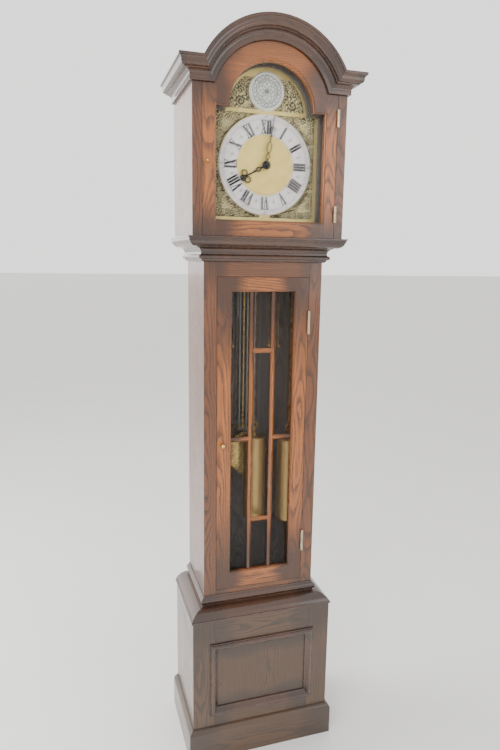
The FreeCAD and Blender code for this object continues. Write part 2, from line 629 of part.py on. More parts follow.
def makeHoodRoof():
    """A bent skin over the arch, two flat shoulder boards and an arched rail at the back."""
    outer = size.roofRadius
    inner = outer - size.roofThickness
    shoulder = size.corniceTop - size.topThickness
    rise = shoulder - size.archCentre
    outerX = math.sqrt(outer ** 2 - rise ** 2)
    innerX = math.sqrt(inner ** 2 - rise ** 2)
    skin = body("hood_roof_skin")
    pad(skin, "XZ_Plane", [[(outerX, rise), ((0, outer), (-outerX, rise)), (-innerX, rise),
                            ((0, inner), (innerX, rise))]], "hoodDepth")
    place(skin, 0, "backPlane", "archCentre")
    boards = []
    for name, sign in (("left", -1), ("right", 1)):
        board = body("hood_shoulder_" + name)
        pad(board, "XZ_Plane", [[(sign * outerX, shoulder), (sign * size.hoodHalf, shoulder),
                                 (sign * size.hoodHalf, size.corniceTop), (sign * outerX, size.corniceTop)]],
            "hoodDepth")
        place(board, 0, "backPlane", 0)
        boards.append(board)
    rail = body("hood_back_rail")
    foot = size.earTop + size.joinGap
    footX = math.sqrt(size.railRadius ** 2 - (foot - size.archCentre) ** 2)
    pad(rail, "XZ_Plane", [[
        (-size.hoodInner, foot), (-footX, foot), ((0, size.archCentre + size.railRadius), (footX, foot)),
        (size.hoodInner, foot), (size.hoodInner, shoulder), (innerX, shoulder),
        ((0, size.archCentre + inner), (-innerX, shoulder)), (-size.hoodInner, shoulder)]], "railDepth")
    place(rail, 0, "backPlane", 0)
    keep("hood_roof", grouped("hood_roof", [skin, rail] + boards))


def archMitre():
    """Where the arch moulding meets the straight shoulder, on the wall and at the outer edge."""
    low = (math.sqrt(size.archInnerRadius ** 2 - (size.corniceBottom - size.archCentre) ** 2),
           size.corniceBottom)
    high = (math.sqrt(size.archOuterRadius ** 2 - (size.corniceTop - size.archCentre) ** 2),
            size.corniceTop)
    return low, high


def makeCornice():
    """The crowning moulding: an arch turned about the dial's middle line, two short shoulders mitred to
    it, and two returns along the hood's sides."""
    low, high = archMitre()
    slope = (high[0] - low[0]) / (high[1] - low[1])
    over = size.cutOver
    lowOut = (low[0] - slope * over, low[1] - over)
    highOut = (high[0] + slope * over, high[1] + over)
    depth = size.backPlane - size.hoodFront
    pieces = []
    for name, sign in (("right", 1), ("left", -1)):
        if sign > 0:
            run = mitredRun("cornice_shoulder_" + name, CORNICE_SHARES, size.corniceProjection,
                            size.corniceHeight, size.corniceBottom, 0, size.hoodHalf, (False, True))
        else:
            run = mitredRun("cornice_shoulder_" + name, CORNICE_SHARES, size.corniceProjection,
                            size.corniceHeight, size.corniceBottom, -size.hoodHalf, 0, (True, False))
        pocket(run, "XZ_Plane", [[(sign * lowOut[0], lowOut[1]), (sign * highOut[0], highOut[1]),
                                  (-sign * over, highOut[1]), (-sign * over, lowOut[1])]])
        run.Placement = Placement(Vector(0, size.hoodFront, 0), Rotation())
        pieces.append(run)
    right = mitredRun("cornice_return_right", CORNICE_SHARES, size.corniceProjection, size.corniceHeight,
                      size.corniceBottom, 0, depth, (True, False))
    right.Placement = Placement(Vector(size.hoodHalf, size.hoodFront, 0), Rotation(UP, 90))
    left = mitredRun("cornice_return_left", CORNICE_SHARES, size.corniceProjection, size.corniceHeight,
                     size.corniceBottom, 0, depth, (False, True))
    left.Placement = Placement(Vector(-size.hoodHalf, size.backPlane, 0), Rotation(UP, -90))
    keep("cornice", grouped("cornice", pieces + [right, left]))
    arch = body("arch_moulding")
    turn = arch.newObject("PartDesign::Revolution", "arch_moulding_turn")
    profile = sketch(arch, "YZ_Plane", [section(CORNICE_SHARES, size.corniceProjection, size.corniceHeight,
                                                size.archInnerRadius)])
    turn.Profile = profile
    turn.ReferenceAxis = (profile, ["H_Axis"])
    turn.Angle = 360
    doc.recompute()
    rise = size.archCentre
    far = size.archOuterRadius + over
    pocket(arch, "XZ_Plane", [[
        (low[0], low[1] - rise), (highOut[0], highOut[1] - rise), (far, highOut[1] - rise), (far, -far),
        (-far, -far), (-far, highOut[1] - rise), (-highOut[0], highOut[1] - rise), (-low[0], low[1] - rise)]])
    place(arch, 0, "hoodFront", "archCentre")
    keep("arch_moulding", arch)


def makeDialMask():
    """The thin frame behind the hood door that covers the dial's edges."""
    mask = body("dial_mask")
    shoulder = size.corniceTop - size.topThickness
    outer = archPoints(size.hoodInner, size.hoodBottom, shoulder,
                       size.roofRadius - size.roofThickness - size.joinGap, size.archCentre)
    inner = archPoints(size.maskHalf, size.maskLow, size.maskShoulder, size.maskRadius, size.archCentre)
    pad(mask, "XZ_Plane", [outer, inner], "maskThickness")
    place(mask, 0, "dialFace - joinGap", 0)
    keep("dial_mask", mask)


def innerEdge(half, low, front, shoulder):
    """A test for the edges round a door's light on its front face."""
    def accept(edge):
        box = edge.BoundBox
        small = size.slideGap
        onFront = abs(box.YMin - front) < small and abs(box.YMax - front) < small
        inside = box.XMax < half and box.XMin > -half and box.ZMin > low and box.ZMax < shoulder
        return onFront and inside
    return accept


def makeDoorBars():
    """The astragal bars that divide the trunk door's light into seven panes, halved into each other."""
    halfBar = size.barWidth / 2
    gap = size.slideGap
    left, right = -size.trunkLightHalf + gap, size.trunkLightHalf - gap
    low, high = size.trunkLightLow + gap, size.trunkLightHigh - gap
    a, b = size.barOffset - halfBar, size.barOffset + halfBar
    side, upper, lower = size.sideBarHeight, size.upperBarHeight, size.lowerBarHeight
    outer = [
        (-b, low), (-a, low), (-a, lower - halfBar), (a, lower - halfBar), (a, low), (b, low),
        (b, side - halfBar), (right, side - halfBar), (right, side + halfBar), (b, side + halfBar),
        (b, high), (a, high), (a, upper + halfBar), (-a, upper + halfBar), (-a, high), (-b, high),
        (-b, side + halfBar), (left, side + halfBar), (left, side - halfBar), (-b, side - halfBar)]
    bars = body("trunk_door_bars")
    pad(bars, "XZ_Plane", [outer, rectangle(-a, lower + halfBar, a, upper - halfBar)], "barDepth")
    front = -size.barDepth
    dressed(bars, "PartDesign::Chamfer",
            lambda edge: abs(edge.BoundBox.YMin - front) < gap and abs(edge.BoundBox.YMax - front) < gap
            and edge.Length > size.barWidth + gap,
            ("barWidth / 3", "barDepth / 2"))
    place(bars, 0, "trunkFront + frontThickness - rebateDepth", 0)
    return bars


def makeTrunkDoorFrame():
    frame = body("trunk_door_wood")
    half, low, high = size.trunkDoorHalf, size.trunkDoorLow, size.trunkDoorHigh
    lightHalf, lightLow, lightHigh = size.trunkLightHalf, size.trunkLightLow, size.trunkLightHigh
    pad(frame, "XZ_Plane", [rectangle(-half, low, half, high),
                            rectangle(-lightHalf, lightLow, lightHalf, lightHigh)], "frontThickness")
    lap = size.glassLap + size.joinGap
    pocket(frame, "XZ_Plane", [rectangle(-lightHalf - lap, lightLow - lap, lightHalf + lap,
                                         lightHigh + lap)], "rebateDepth", flip=True)
    step = size.edgeStepWidth
    pocket(frame, "XZ_Plane", [rectangle(-lightHalf - step, lightLow - step, lightHalf + step,
                                         lightHigh + step)], "edgeStep", offset=size.frontThickness)
    front = -(size.frontThickness - size.edgeStep)
    gap = size.slideGap
    dressed(frame, "PartDesign::Fillet", innerEdge(lightHalf + gap, lightLow - gap, front, lightHigh + gap),
            "edgeStepWidth - slideGap")
    recess = [rectangle(half - size.leafThickness, z, half + size.cutOver, z + size.trunkHingeLength)
              for z in (low + size.trunkHingeInset,
                        high - size.trunkHingeInset - size.trunkHingeLength)]
    pocket(frame, "XZ_Plane", recess, "leafReach", offset=size.frontThickness)
    drill(frame, size.trunkCatchX, size.trunkCatchHeight, size.pinRadius * 2 + size.runningGap)
    place(frame, 0, "trunkFront + frontThickness", 0)
    keep("trunk_door_frame", grouped("trunk_door_frame", [frame, makeDoorBars()]))
    lap = size.glassLap
    glass = body("trunk_door_glass")
    pad(glass, "XZ_Plane", [rectangle(-lightHalf - lap, lightLow - lap, lightHalf + lap, lightHigh + lap)],
        "glassThickness")
    place(glass, 0, "trunkFront + frontThickness - rebateDepth + glassThickness", 0)
    keep("trunk_door_glass", glass)


def drill(owner, x, z, radius):
    """A round hole through a front board."""
    pocket(owner, "XZ_Plane", [[(x - radius, z), ((x, z + radius), (x + radius, z)),
                                ((x, z - radius), (x - radius, z))]])


def makeHoodDoor():
    frame = body("hood_door_frame")
    half, low = size.hoodDoorHalf, size.hoodDoorLow
    shoulder = size.corniceBottom - size.joinGap
    outer = archPoints(half, low, shoulder, size.doorHeadRadius, size.archCentre)
    centre = size.archCentre

    def light(grow):
        return archPoints(size.hoodLightHalf + grow, size.hoodLightLow - grow,
                          size.hoodLightShoulder + grow, size.hoodLightRadius + grow, centre)
    pad(frame, "XZ_Plane", [outer, light(0)], "frontThickness")
    pocket(frame, "XZ_Plane", [light(size.glassLap + size.joinGap)], "rebateDepth", flip=True)
    step = size.edgeStepWidth * 2
    pocket(frame, "XZ_Plane", [light(step)], "edgeStep", offset=size.frontThickness)
    front = -(size.frontThickness - size.edgeStep)
    gap = size.slideGap
    dressed(frame, "PartDesign::Fillet",
            innerEdge(size.hoodLightHalf + gap, size.hoodLightLow - gap, front,
                      centre + size.hoodLightRadius + gap), "edgeRound")
    recess = [rectangle(half - size.leafThickness, z, half + size.cutOver, z + size.hoodHingeLength)
              for z in (size.hoodHingeLow, size.hoodHingeHigh)]
    pocket(frame, "XZ_Plane", recess, "leafReach", offset=size.frontThickness)
    drill(frame, size.hoodCatchX, size.hoodCatchHeight, size.pinRadius + size.runningGap)
    place(frame, 0, "hoodFront + frontThickness", 0)
    keep("hood_door_frame", frame)
    glass = body("hood_door_glass")
    pad(glass, "XZ_Plane", [light(size.glassLap)], "glassThickness")
    place(glass, 0, "hoodFront + frontThickness - rebateDepth + glassThickness", 0)
    keep("hood_door_glass", glass)


def butt(edge, front, low, length, doorSide):
    """One leaf of a butt hinge with its knuckles. The door's leaf has two bored knuckles, the frame's has
    three and holds the pin."""
    middle = edge + size.joinGap / 2
    leafX = edge - size.leafThickness if doorSide else edge + size.joinGap
    axisY = front - size.knuckleRadius - size.slideGap
    leaf = Part.makeBox(size.leafThickness, size.leafReach, length, Vector(leafX, front, low))
    pitch = length / 5
    shape = leaf
    for index in range(5):
        if (index % 2 == 1) != doorSide:
            continue
        start = low + index * pitch + size.slideGap / 2
        tall = pitch - size.slideGap
        tongue = Part.makeBox(size.leafThickness, front - axisY, tall, Vector(leafX, axisY, start))
        knuckle = Part.makeCylinder(size.knuckleRadius, tall, Vector(middle, axisY, start))
        shape = shape.fuse([tongue, knuckle])
    if doorSide:
        bore = Part.makeCylinder(size.pinRadius + size.runningGap, length, Vector(middle, axisY, low))
        shape = shape.cut(bore)
    else:
        shape = shape.fuse(Part.makeCylinder(size.pinRadius, length, Vector(middle, axisY, low)))
    return shape.removeSplitter()


def makeHinges():
    trunkLows = (size.trunkDoorLow + size.trunkHingeInset,
                 size.trunkDoorHigh - size.trunkHingeInset - size.trunkHingeLength)
    hoodLows = (size.hoodHingeLow, size.hoodHingeHigh)
    for door, edge, front, lows, length in (
            ("trunk", size.trunkDoorHalf, size.trunkFront, trunkLows, size.trunkHingeLength),
            ("hood", size.hoodDoorHalf, size.hoodFront, hoodLows, size.hoodHingeLength)):
        for leaf, doorSide in (("door", True), ("frame", False)):
            shapes = [butt(edge, front, low, length, doorSide) for low in lows]
            shaped("%s_hinge_%s_leaves" % (door, leaf), Part.makeCompound(shapes))


def makeCatch(node, x, height, front, radius, spindle, reach):
    """A turn catch: a turned knob in front, a spindle through the stile and a tongue behind it that
    stands upright when the catch is open."""
    boardBack = size.frontThickness
    ball = radius * 1.3
    start = ball - math.sqrt(radius ** 2 - spindle ** 2)
    outline = [(0, -boardBack - size.catchThickness), (spindle, -boardBack - size.catchThickness),
               (spindle, 0), (radius * 0.9, 0), (radius * 0.9, start / 2), (spindle, start / 2),
               (spindle, start), ((radius, ball), (0, ball + radius))]
    knob = turned(node + "_knob", outline)
    knob.Placement = Placement(Vector(x, front, height), Rotation(EAST, 90))
    tongue = doc.addObject("Part::Box", node + "_tongue")
    tongue.Length = size.catchWidth
    tongue.Width = size.catchThickness
    tongue.Height = reach + size.catchWidth / 2
    tongue.Placement = Placement(Vector(x - size.catchWidth / 2, front + boardBack + size.slideGap,
                                        height - size.catchWidth / 2), Rotation())
    keep(node, fused(node, [knob, tongue]))


# The boss's raised rim and sunk field, as shares of its radius and thickness.
BOSS_CROWN_SHARES = (0.97, 0.9)
BOSS_RIM_SHARE = 0.92
BOSS_FIELD_SHARE = 0.88
BOSS_DISH_SHARE = 0.6


def makeDial():
    plate = body("dial_plate")
    low = size.dialCentre - size.dialHalf
    high = size.dialCentre + size.dialHalf
    pad(plate, "XZ_Plane", [archPoints(size.dialHalf, low, high, size.dialArchRadius, size.dialArchCentre)],
        "dialThickness")
    drill(plate, 0, size.dialCentre, size.dialHole)
    place(plate, 0, "dialRear", 0)
    keep("dial_plate", plate)
    outer = dowel("chapter_ring_blank", "ringOuter", "ringThickness", 0, "dialFace", "dialCentre", -NORTH)
    inner = dowel("chapter_ring_bore", "ringInner", "2 * ringThickness + cutOver", 0, "dialFace + cutOver / 2",
                  "dialCentre", -NORTH)
    keep("chapter_ring", without("chapter_ring", outer, [inner]))
    radius, thick = size.bossRadius, size.bossThickness
    crown = (radius * BOSS_CROWN_SHARES[0], thick * BOSS_CROWN_SHARES[1])
    dish = thick * BOSS_DISH_SHARE
    boss = turned("dial_boss", [(0, 0), (radius, 0), (radius, thick / 2),
                                (crown, (radius * BOSS_RIM_SHARE, thick)),
                                (radius * BOSS_FIELD_SHARE, dish), (0, dish)])
    boss.Placement = Placement(Vector(0, size.dialFace, size.bossHeight), Rotation(EAST, 90))
    keep("dial_boss", boss)


def roundFace(x, y, radius):
    """A flat round face in a casting's own plane."""
    return Part.Face(Part.Wire([Part.Circle(Vector(x, y, 0), UP, radius).toShape()]))


def makeSpandrels():
    """Cast corner pieces between the ring and the dial's plain border, and one on each side of the boss."""
    clear = 5 * size.slideGap
    bossSpot = size.bossHeight - size.dialCentre
    ring = roundFace(0, 0, size.ringOuter + clear)
    boss = roundFace(0, bossSpot, size.bossRadius + clear)
    start = size.spandrelHalf / 9
    faces = []
    for sign in (-1, 1):
        for height in (size.spandrelTop, -size.spandrelBottom):
            low = Vector(min(sign * start, sign * size.spandrelHalf), min(0, height), 0)
            corner = Part.makePlane(size.spandrelHalf - start, abs(height), low)
            faces.append(corner.cut(ring).cut(boss))
    floor = size.archSpandrelLow - size.dialCentre
    rim = roundFace(0, size.archCentre - size.dialCentre, size.archSpandrelRadius)
    for sign in (-1, 1):
        low = Vector(start if sign > 0 else -start - size.dialArchRadius, floor, 0)
        side = Part.makePlane(size.dialArchRadius, size.archSpandrelHigh - size.archSpandrelLow, low)
        faces.append(rim.common(side).cut(boss))
    solids = []
    for face in faces:
        pieces = sorted(face.Faces, key=lambda piece: piece.Area)
        solids.append(pieces[-1].extrude(Vector(0, 0, size.spandrelThickness)))
    casting = Part.makeCompound(solids)
    casting.rotate(Vector(), EAST, 90)
    casting.translate(Vector(0, size.dialFace, size.dialCentre))
    shaped("spandrels", casting)


def oval(x, height, halfWidth, halfHeight):
    """A flat oval face in a casting's own plane."""
    if halfWidth == halfHeight:
        return roundFace(x, height, halfWidth)
    centre = Vector(x, height, 0)
    tips = [centre + Vector(halfWidth, 0, 0), centre + Vector(0, halfHeight, 0)]
    if halfHeight > halfWidth:
        tips.reverse()
    return Part.Face(Part.Wire([Part.Ellipse(tips[0], tips[1], centre).toShape()]))


def loop(x, height, halfWidth, halfHeight, wire):
    """An oval wire loop in a hand's own plane."""
    return oval(x, height, halfWidth, halfHeight).cut(oval(x, height, halfWidth - wire, halfHeight - wire))


def taper(low, lowHalf, high, highHalf):
    """A straight bar of a hand that narrows or widens along its length."""
    points = [Vector(-lowHalf, low, 0), Vector(lowHalf, low, 0), Vector(highHalf, high, 0),
              Vector(-highHalf, high, 0)]
    return Part.Face(Part.makePolygon(points + [points[0]]))


def finishHand(node, faces, hole, stand, angle, dome=0):
    """Cut a hand from sheet, bore it for its pipe, add a domed cap if it has one, and set it to its time."""
    faces.append(roundFace(0, 0, size.collarRadius))
    pieces = [face.extrude(Vector(0, 0, size.handThickness)) for face in faces]
    bore = Part.makeCylinder(hole, 3 * size.handThickness, Vector(0, 0, -size.handThickness))
    blade = pieces[0].fuse(pieces[1:]).cut(bore)
    if dome:
        ball = (size.domeRadius ** 2 + dome ** 2) / (2 * dome)
        cap = Part.makeSphere(ball, Vector(0, 0, size.handThickness + dome - ball))
        cap = cap.common(Part.makeCylinder(size.domeRadius, dome, Vector(0, 0, size.handThickness)))
        blade = blade.fuse(cap)
    blade = blade.removeSplitter()
    blade.rotate(Vector(), EAST, 90)
    blade.rotate(Vector(), NORTH, angle)
    blade.translate(Vector(0, size.dialFace - stand, size.dialCentre))
    shaped(node, blade)


# Places and sizes along each hand, as shares of its length. A loop is (place, aside, half width, half
# height) and a knob is (place, radius).
HAND_WIRE_SHARE = 0.016
HAND_STEM_SHARE = 0.75
HAND_TIP_SHARE = 0.33
HAND_CROSS_SHARE = 0.9
MINUTE_LOOP_SHARES = [(0.172, 0, 0.048, 0.060), (0.363, 0, 0.058, 0.118)]
MINUTE_KNOB_SHARES = [(0.595, 0.020), (0.770, 0.017), (0.955, 0.012)]
MINUTE_CROSS_SHARES = (0.770, 0.036)
HOUR_LOOP_SHARES = [(0.266, 0, 0.066, 0.074), (0.716, 0.112, 0.094, 0.094), (0.716, -0.112, 0.094, 0.094),
                    (0.845, 0.045, 0.045, 0.050), (0.845, -0.045, 0.045, 0.050)]
HOUR_KNOB_SHARES = [(0.400, 0.022), (0.600, 0.026), (0.716, 0.030)]


def stems(loops, length, wire):
    """The straight stretches of a hand between the loops that lie on its middle line."""
    ends = [0]
    for place, aside, _, halfHeight in loops:
        if aside == 0:
            ends += [(place - halfHeight) * length + wire / 2, (place + halfHeight) * length - wire / 2]
    ends.append(length)
    thick = HAND_STEM_SHARE * wire
    tip = HAND_TIP_SHARE * wire
    return [taper(low, thick, high, tip if high == length else thick)
            for low, high in zip(ends[0::2], ends[1::2])]


def handFaces(loops, knobs, length, wire):
    faces = [loop(aside * length, place * length, halfWidth * length, halfHeight * length, wire)
             for place, aside, halfWidth, halfHeight in loops]
    faces += stems(loops, length, wire)
    faces += [roundFace(0, place * length, radius * length) for place, radius in knobs]
    return faces


def makeHands():
    length = size.minuteLength
    wire = HAND_WIRE_SHARE * length
    faces = handFaces(MINUTE_LOOP_SHARES, MINUTE_KNOB_SHARES, length, wire)
    place, reach = MINUTE_CROSS_SHARES
    faces.append(oval(0, place * length, reach * length, HAND_CROSS_SHARE * wire))
    finishHand("minute_hand", faces, size.cannonRadius, size.minuteHandStand, size.minuteAngle,
               size.domeHeight)
    faces = handFaces(HOUR_LOOP_SHARES, HOUR_KNOB_SHARES, size.hourLength, wire)
    finishHand("hour_hand", faces, size.hourPipeRadius, size.hourHandStand, size.hourAngle)


def toothed(teeth, module, pinion, thickness, phase=0, tips=None):
    """A gear blank in its own plane with every tooth as a truncated wedge, its first tooth at the phase
    angle. Pinions have slim leaves and wheels have pointed teeth."""
    pitch = teeth * module / 2
    tip = pitch + module * (0.75 if pinion else 0.9)
    root = pitch - module * (1.35 if pinion else 1.25)
    rootShare, tipShare = (0.12, 0.055) if pinion else (0.21, 0.05)
    if tips:
        root, tip, rootShare, tipShare = tips
    step = 2 * math.pi / teeth
    points = []
    for index in range(teeth):
        middle = math.radians(phase) + index * step
        for radius, offset in ((root, -rootShare), (tip, -tipShare), (tip, tipShare), (root, rootShare)):
            angle = middle + offset * step
            points.append(Vector(radius * math.cos(angle), radius * math.sin(angle), 0))
    face = Part.Face(Part.makePolygon(points + [points[0]]))
    return face.extrude(Vector(0, 0, thickness))


def crossings(solid, hub, rim, thickness, count=4):
    """Cut the windows between a wheel's spokes."""
    spoke = hub / 2
    for index in range(count):
        turn = 2 * math.pi * index / count
        quarter = 2 * math.pi / count
        window = []
        for radius, side in ((hub, 0), (rim, 0), (rim, 1), (hub, 1)):
            skew = math.asin(spoke / radius)
            window.append(turn + (quarter - skew if side else skew))
        corners = [Vector(r * math.cos(a), r * math.sin(a), 0)
                   for r, a in zip((hub, rim, rim, hub), window)]
        middle = turn + quarter / 2
        outerMid = Vector(rim * math.cos(middle), rim * math.sin(middle), 0)
        innerMid = Vector(hub * math.cos(middle), hub * math.sin(middle), 0)
        edges = [Part.makeLine(corners[0], corners[1]),
                 Part.Arc(corners[1], outerMid, corners[2]).toShape(),
                 Part.makeLine(corners[2], corners[3]),
                 Part.Arc(corners[3], innerMid, corners[0]).toShape()]
        solid = solid.cut(Part.Face(Part.Wire(edges)).extrude(Vector(0, 0, thickness)))
    return solid


def drum(radius, thickness):
    return Part.makeCylinder(radius, thickness)


def standing(shape, depth):
    """Lift a piece of an arbor to its place along the arbor, measured back from the front of the train."""
    shape.translate(Vector(0, 0, depth))
    return shape


def onArbor(node, parts, centre, bore=None):
    """Join what an arbor carries, lay it along +Y and put it at its centre in the frame."""
    shape = parts[0].fuse(parts[1:]) if len(parts) > 1 else parts[0]
    if bore:
        low = shape.BoundBox.ZMin - size.cutOver
        long = shape.BoundBox.ZLength + 2 * size.cutOver
        shape = shape.cut(Part.makeCylinder(bore, long, Vector(0, 0, low)))
    shape = shape.removeSplitter()
    flip = Placement(Vector(centre[0], size.trainFront, centre[1]), Rotation(EAST, -90))
    shape = shape.transformGeometry(FreeCAD.Matrix(1, 0, 0, 0, 0, -1, 0, 0, 0, 0, 1, 0, 0, 0, 0, 1))
    shape.Placement = flip.multiply(shape.Placement)
    return shaped(node, shape)


def arbor(radius=None, front=0, back=0):
    """An arbor between the plates with a pivot at each end; front and back lengthen the pivots."""
    radius = radius or size.arborRadius
    gap = size.slideGap
    body = standing(drum(radius, size.plateSpacing - 2 * gap), gap)
    nose = standing(drum(size.pivotRadius, size.plateSpacing + 2 * size.plateThickness + front + back),
                    -size.plateThickness - front)
    return [body, nose]


def trainCentres():
    """Where every arbor stands, so that each pair of gears meshes on its pitch circles."""
    centre = (0, size.dialCentre)
    great = (size.greatTeeth + size.centreLeaves) * size.module / 2
    drop = math.sqrt(great ** 2 - size.chainWheelRadius ** 2)
    greatSpot = (size.chainWheelRadius, size.dialCentre - drop)
    pallet = (0, size.pendulumRise)
    escape = (0, size.escapeHeight)
    third = (-size.thirdAside, size.thirdHeight)
    motion = size.cannonTeeth * size.motionModule
    minute = (motion * math.cos(math.radians(200)), centre[1] + motion * math.sin(math.radians(200)))
    side = size.weightSpacing - size.chainWheelRadius
    return {"centre": centre, "great": greatSpot, "third": third, "escape": escape, "pallet": pallet,
            "minute": minute, "strike": (-side, greatSpot[1]), "chime": (side, greatSpot[1])}


centres = trainCentres()
chainCentres = {"going": centres["great"][0], "strike": centres["strike"][0], "chime": centres["chime"][0]}


def bearing(a, b):
    """The angle in degrees from one centre to another."""
    return math.degrees(math.atan2(centres[b][1] - centres[a][1], centres[b][0] - centres[a][0]))


def gapPhase(angle, teeth):
    """The phase that puts a gap between two teeth at an angle."""
    return angle + 180 + 180 / teeth


# Places along the arbors, behind the front of the train.
PLANE_SHARES = {"centreWheel": 0.2727, "great": 0.7273, "thirdWheel": 0.8485, "escapeWheel": 0.5758}


SLIM_ARBOR_SHARE = 1.3
GROOVE_MOUTH_SHARE = 0.7
GROOVE_FLOOR_SHARE = 0.45
# The anchor's outline, as shares of the escape wheel's radius measured from the anchor's arbor.
ANCHOR_SHARES = [(0, 0.28), (0.50, 0.10), (0.93, -0.40), (0.88, -0.74), (0.745, -0.665), (0.60, -0.28),
                 (0, -0.24)]


def depthOf(name):
    return PLANE_SHARES[name] * size.plateSpacing


def makeGoingTrain():
    thick = size.wheelThickness
    long = size.pinionLength
    toGreat = bearing("centre", "great")
    toThird = bearing("centre", "third")
    backing = (long - thick) / 2
    teeth = {name: int(getattr(size, name)) for name in (
        "greatTeeth", "centreLeaves", "centreTeeth", "thirdLeaves", "thirdTeeth", "escapeLeaves",
        "escapeTeeth", "strikeTeeth", "cannonTeeth", "motionLeaves", "hourTeeth")}
    chainDepth = size.chainPlane - size.trainFront
    # centre arbor: pinion driven by the great wheel, centre wheel, cannon wheel and pipe in front
    wheel = toothed(teeth["centreTeeth"], size.module, False, thick, toThird)
    rim = teeth["centreTeeth"] * size.module / 2 - size.module * 4
    wheel = crossings(wheel, size.arborRadius * 2.4, rim, thick)
    pinion = toothed(teeth["centreLeaves"], size.module, True, long, toGreat)
    cannon = toothed(teeth["cannonTeeth"], size.motionModule, False, thick, bearing("centre", "minute"))
    toHand = size.trainFront - (size.dialFace - size.minuteHandStand - size.handThickness)
    cannonDepth = -size.plateThickness - size.slideGap * 4 - thick
    parts = [standing(wheel, depthOf("centreWheel")), standing(pinion, depthOf("great") - backing),
             standing(drum(size.cannonRadius, toHand + cannonDepth), -toHand),
             standing(cannon, cannonDepth)] + arbor(size.pivotRadius * 1.15, front=toHand / 2)
    onArbor("centre_arbor", parts, centres["centre"])
    # going great wheel on a sleeve behind its chain wheel
    great = toothed(teeth["greatTeeth"], size.module, False, thick, gapPhase(toGreat, teeth["greatTeeth"]))
    onArbor("going_great_wheel", [standing(great, depthOf("great")),
                                  standing(drum(size.arborRadius * 2, long), depthOf("great") - backing)]
            + arbor(), centres["great"])
    thin = SLIM_ARBOR_SHARE * size.pivotRadius
    third = toothed(teeth["thirdTeeth"], size.thirdModule, False, thick, bearing("third", "escape"))
    third = crossings(third, size.arborRadius * 2.2, teeth["thirdTeeth"] * size.thirdModule / 2
                      - size.thirdModule * 4, thick)
    thirdPinion = toothed(teeth["thirdLeaves"], size.module, True, long,
                          gapPhase(toThird, teeth["thirdLeaves"]))
    onArbor("third_wheel", [standing(third, depthOf("thirdWheel")),
                            standing(thirdPinion, depthOf("centreWheel") - backing)] + arbor(thin),
            centres["third"])
    tip = size.escapeRadius
    escape = toothed(teeth["escapeTeeth"], size.module, False, thick, 90,
                     tips=(tip * 0.84, tip, 0.20, 0.02))
    escape = crossings(escape, size.arborRadius * 2, tip * 0.74, thick)
    escapePinion = toothed(teeth["escapeLeaves"], size.thirdModule, True, long,
                           gapPhase(bearing("third", "escape"), teeth["escapeLeaves"]))
    onArbor("escape_wheel", [standing(escape, depthOf("escapeWheel")),
                             standing(escapePinion, depthOf("thirdWheel") - backing)] + arbor(thin),
            centres["escape"])
    # motion work in front of the front plate
    toMinute = bearing("centre", "minute")
    minute = toothed(teeth["cannonTeeth"], size.motionModule, False, thick,
                     gapPhase(toMinute, teeth["cannonTeeth"]))
    pairing = (teeth["motionLeaves"] + teeth["hourTeeth"]) / 2
    hourModule = teeth["cannonTeeth"] * size.motionModule / pairing
    leaves = toothed(teeth["motionLeaves"], hourModule, True, long,
                     gapPhase(toMinute, teeth["motionLeaves"]))
    hourDepth = cannonDepth - thick - size.slideGap * 4
    onArbor("minute_wheel", [standing(minute, cannonDepth), standing(leaves, cannonDepth - long),
                             standing(drum(size.pivotRadius, -cannonDepth + long), cannonDepth - long)],
            centres["minute"])
    hourWheel = toothed(teeth["hourTeeth"], hourModule, False, thick, toMinute)
    pipeTop = -(size.trainFront - (size.dialFace - size.hourHandStand - size.handThickness * 2))
    onArbor("hour_wheel", [standing(hourWheel, hourDepth),
                           standing(drum(size.hourPipeRadius, hourDepth - pipeTop), pipeTop)],
            centres["centre"], bore=size.cannonRadius + size.runningGap)
    # strike and chime: great wheel and chain wheel turn together
    for name in ("strike", "chime"):
        wheel = toothed(teeth["strikeTeeth"], size.module, False, thick, 90)
        onArbor(name + "_great_wheel", [standing(wheel, depthOf("great"))] + chainWheel(chainDepth)
                + arbor(), centres[name])
    onArbor("going_chain_wheel", chainWheel(chainDepth), centres["great"],
            bore=size.arborRadius + size.runningGap)


def chainWheel(depth):
    """A grooved wheel that the chain hangs over, turned as one piece."""
    half = size.chainWheelWidth / 2
    groove = size.chainWheelRadius - size.chainRadius - size.slideGap
    rim = size.flangeRadius
    outline = [Vector(0, 0, -half), Vector(rim, 0, -half), Vector(rim, 0, -half * GROOVE_MOUTH_SHARE),
               Vector(groove, 0, -half * GROOVE_FLOOR_SHARE), Vector(groove, 0, half * GROOVE_FLOOR_SHARE),
               Vector(rim, 0, half * GROOVE_MOUTH_SHARE), Vector(rim, 0, half), Vector(0, 0, half)]
    face = Part.Face(Part.makePolygon(outline + [outline[0]]))
    solid = face.revolve(Vector(), UP, 360)
    return [standing(solid, depth)]


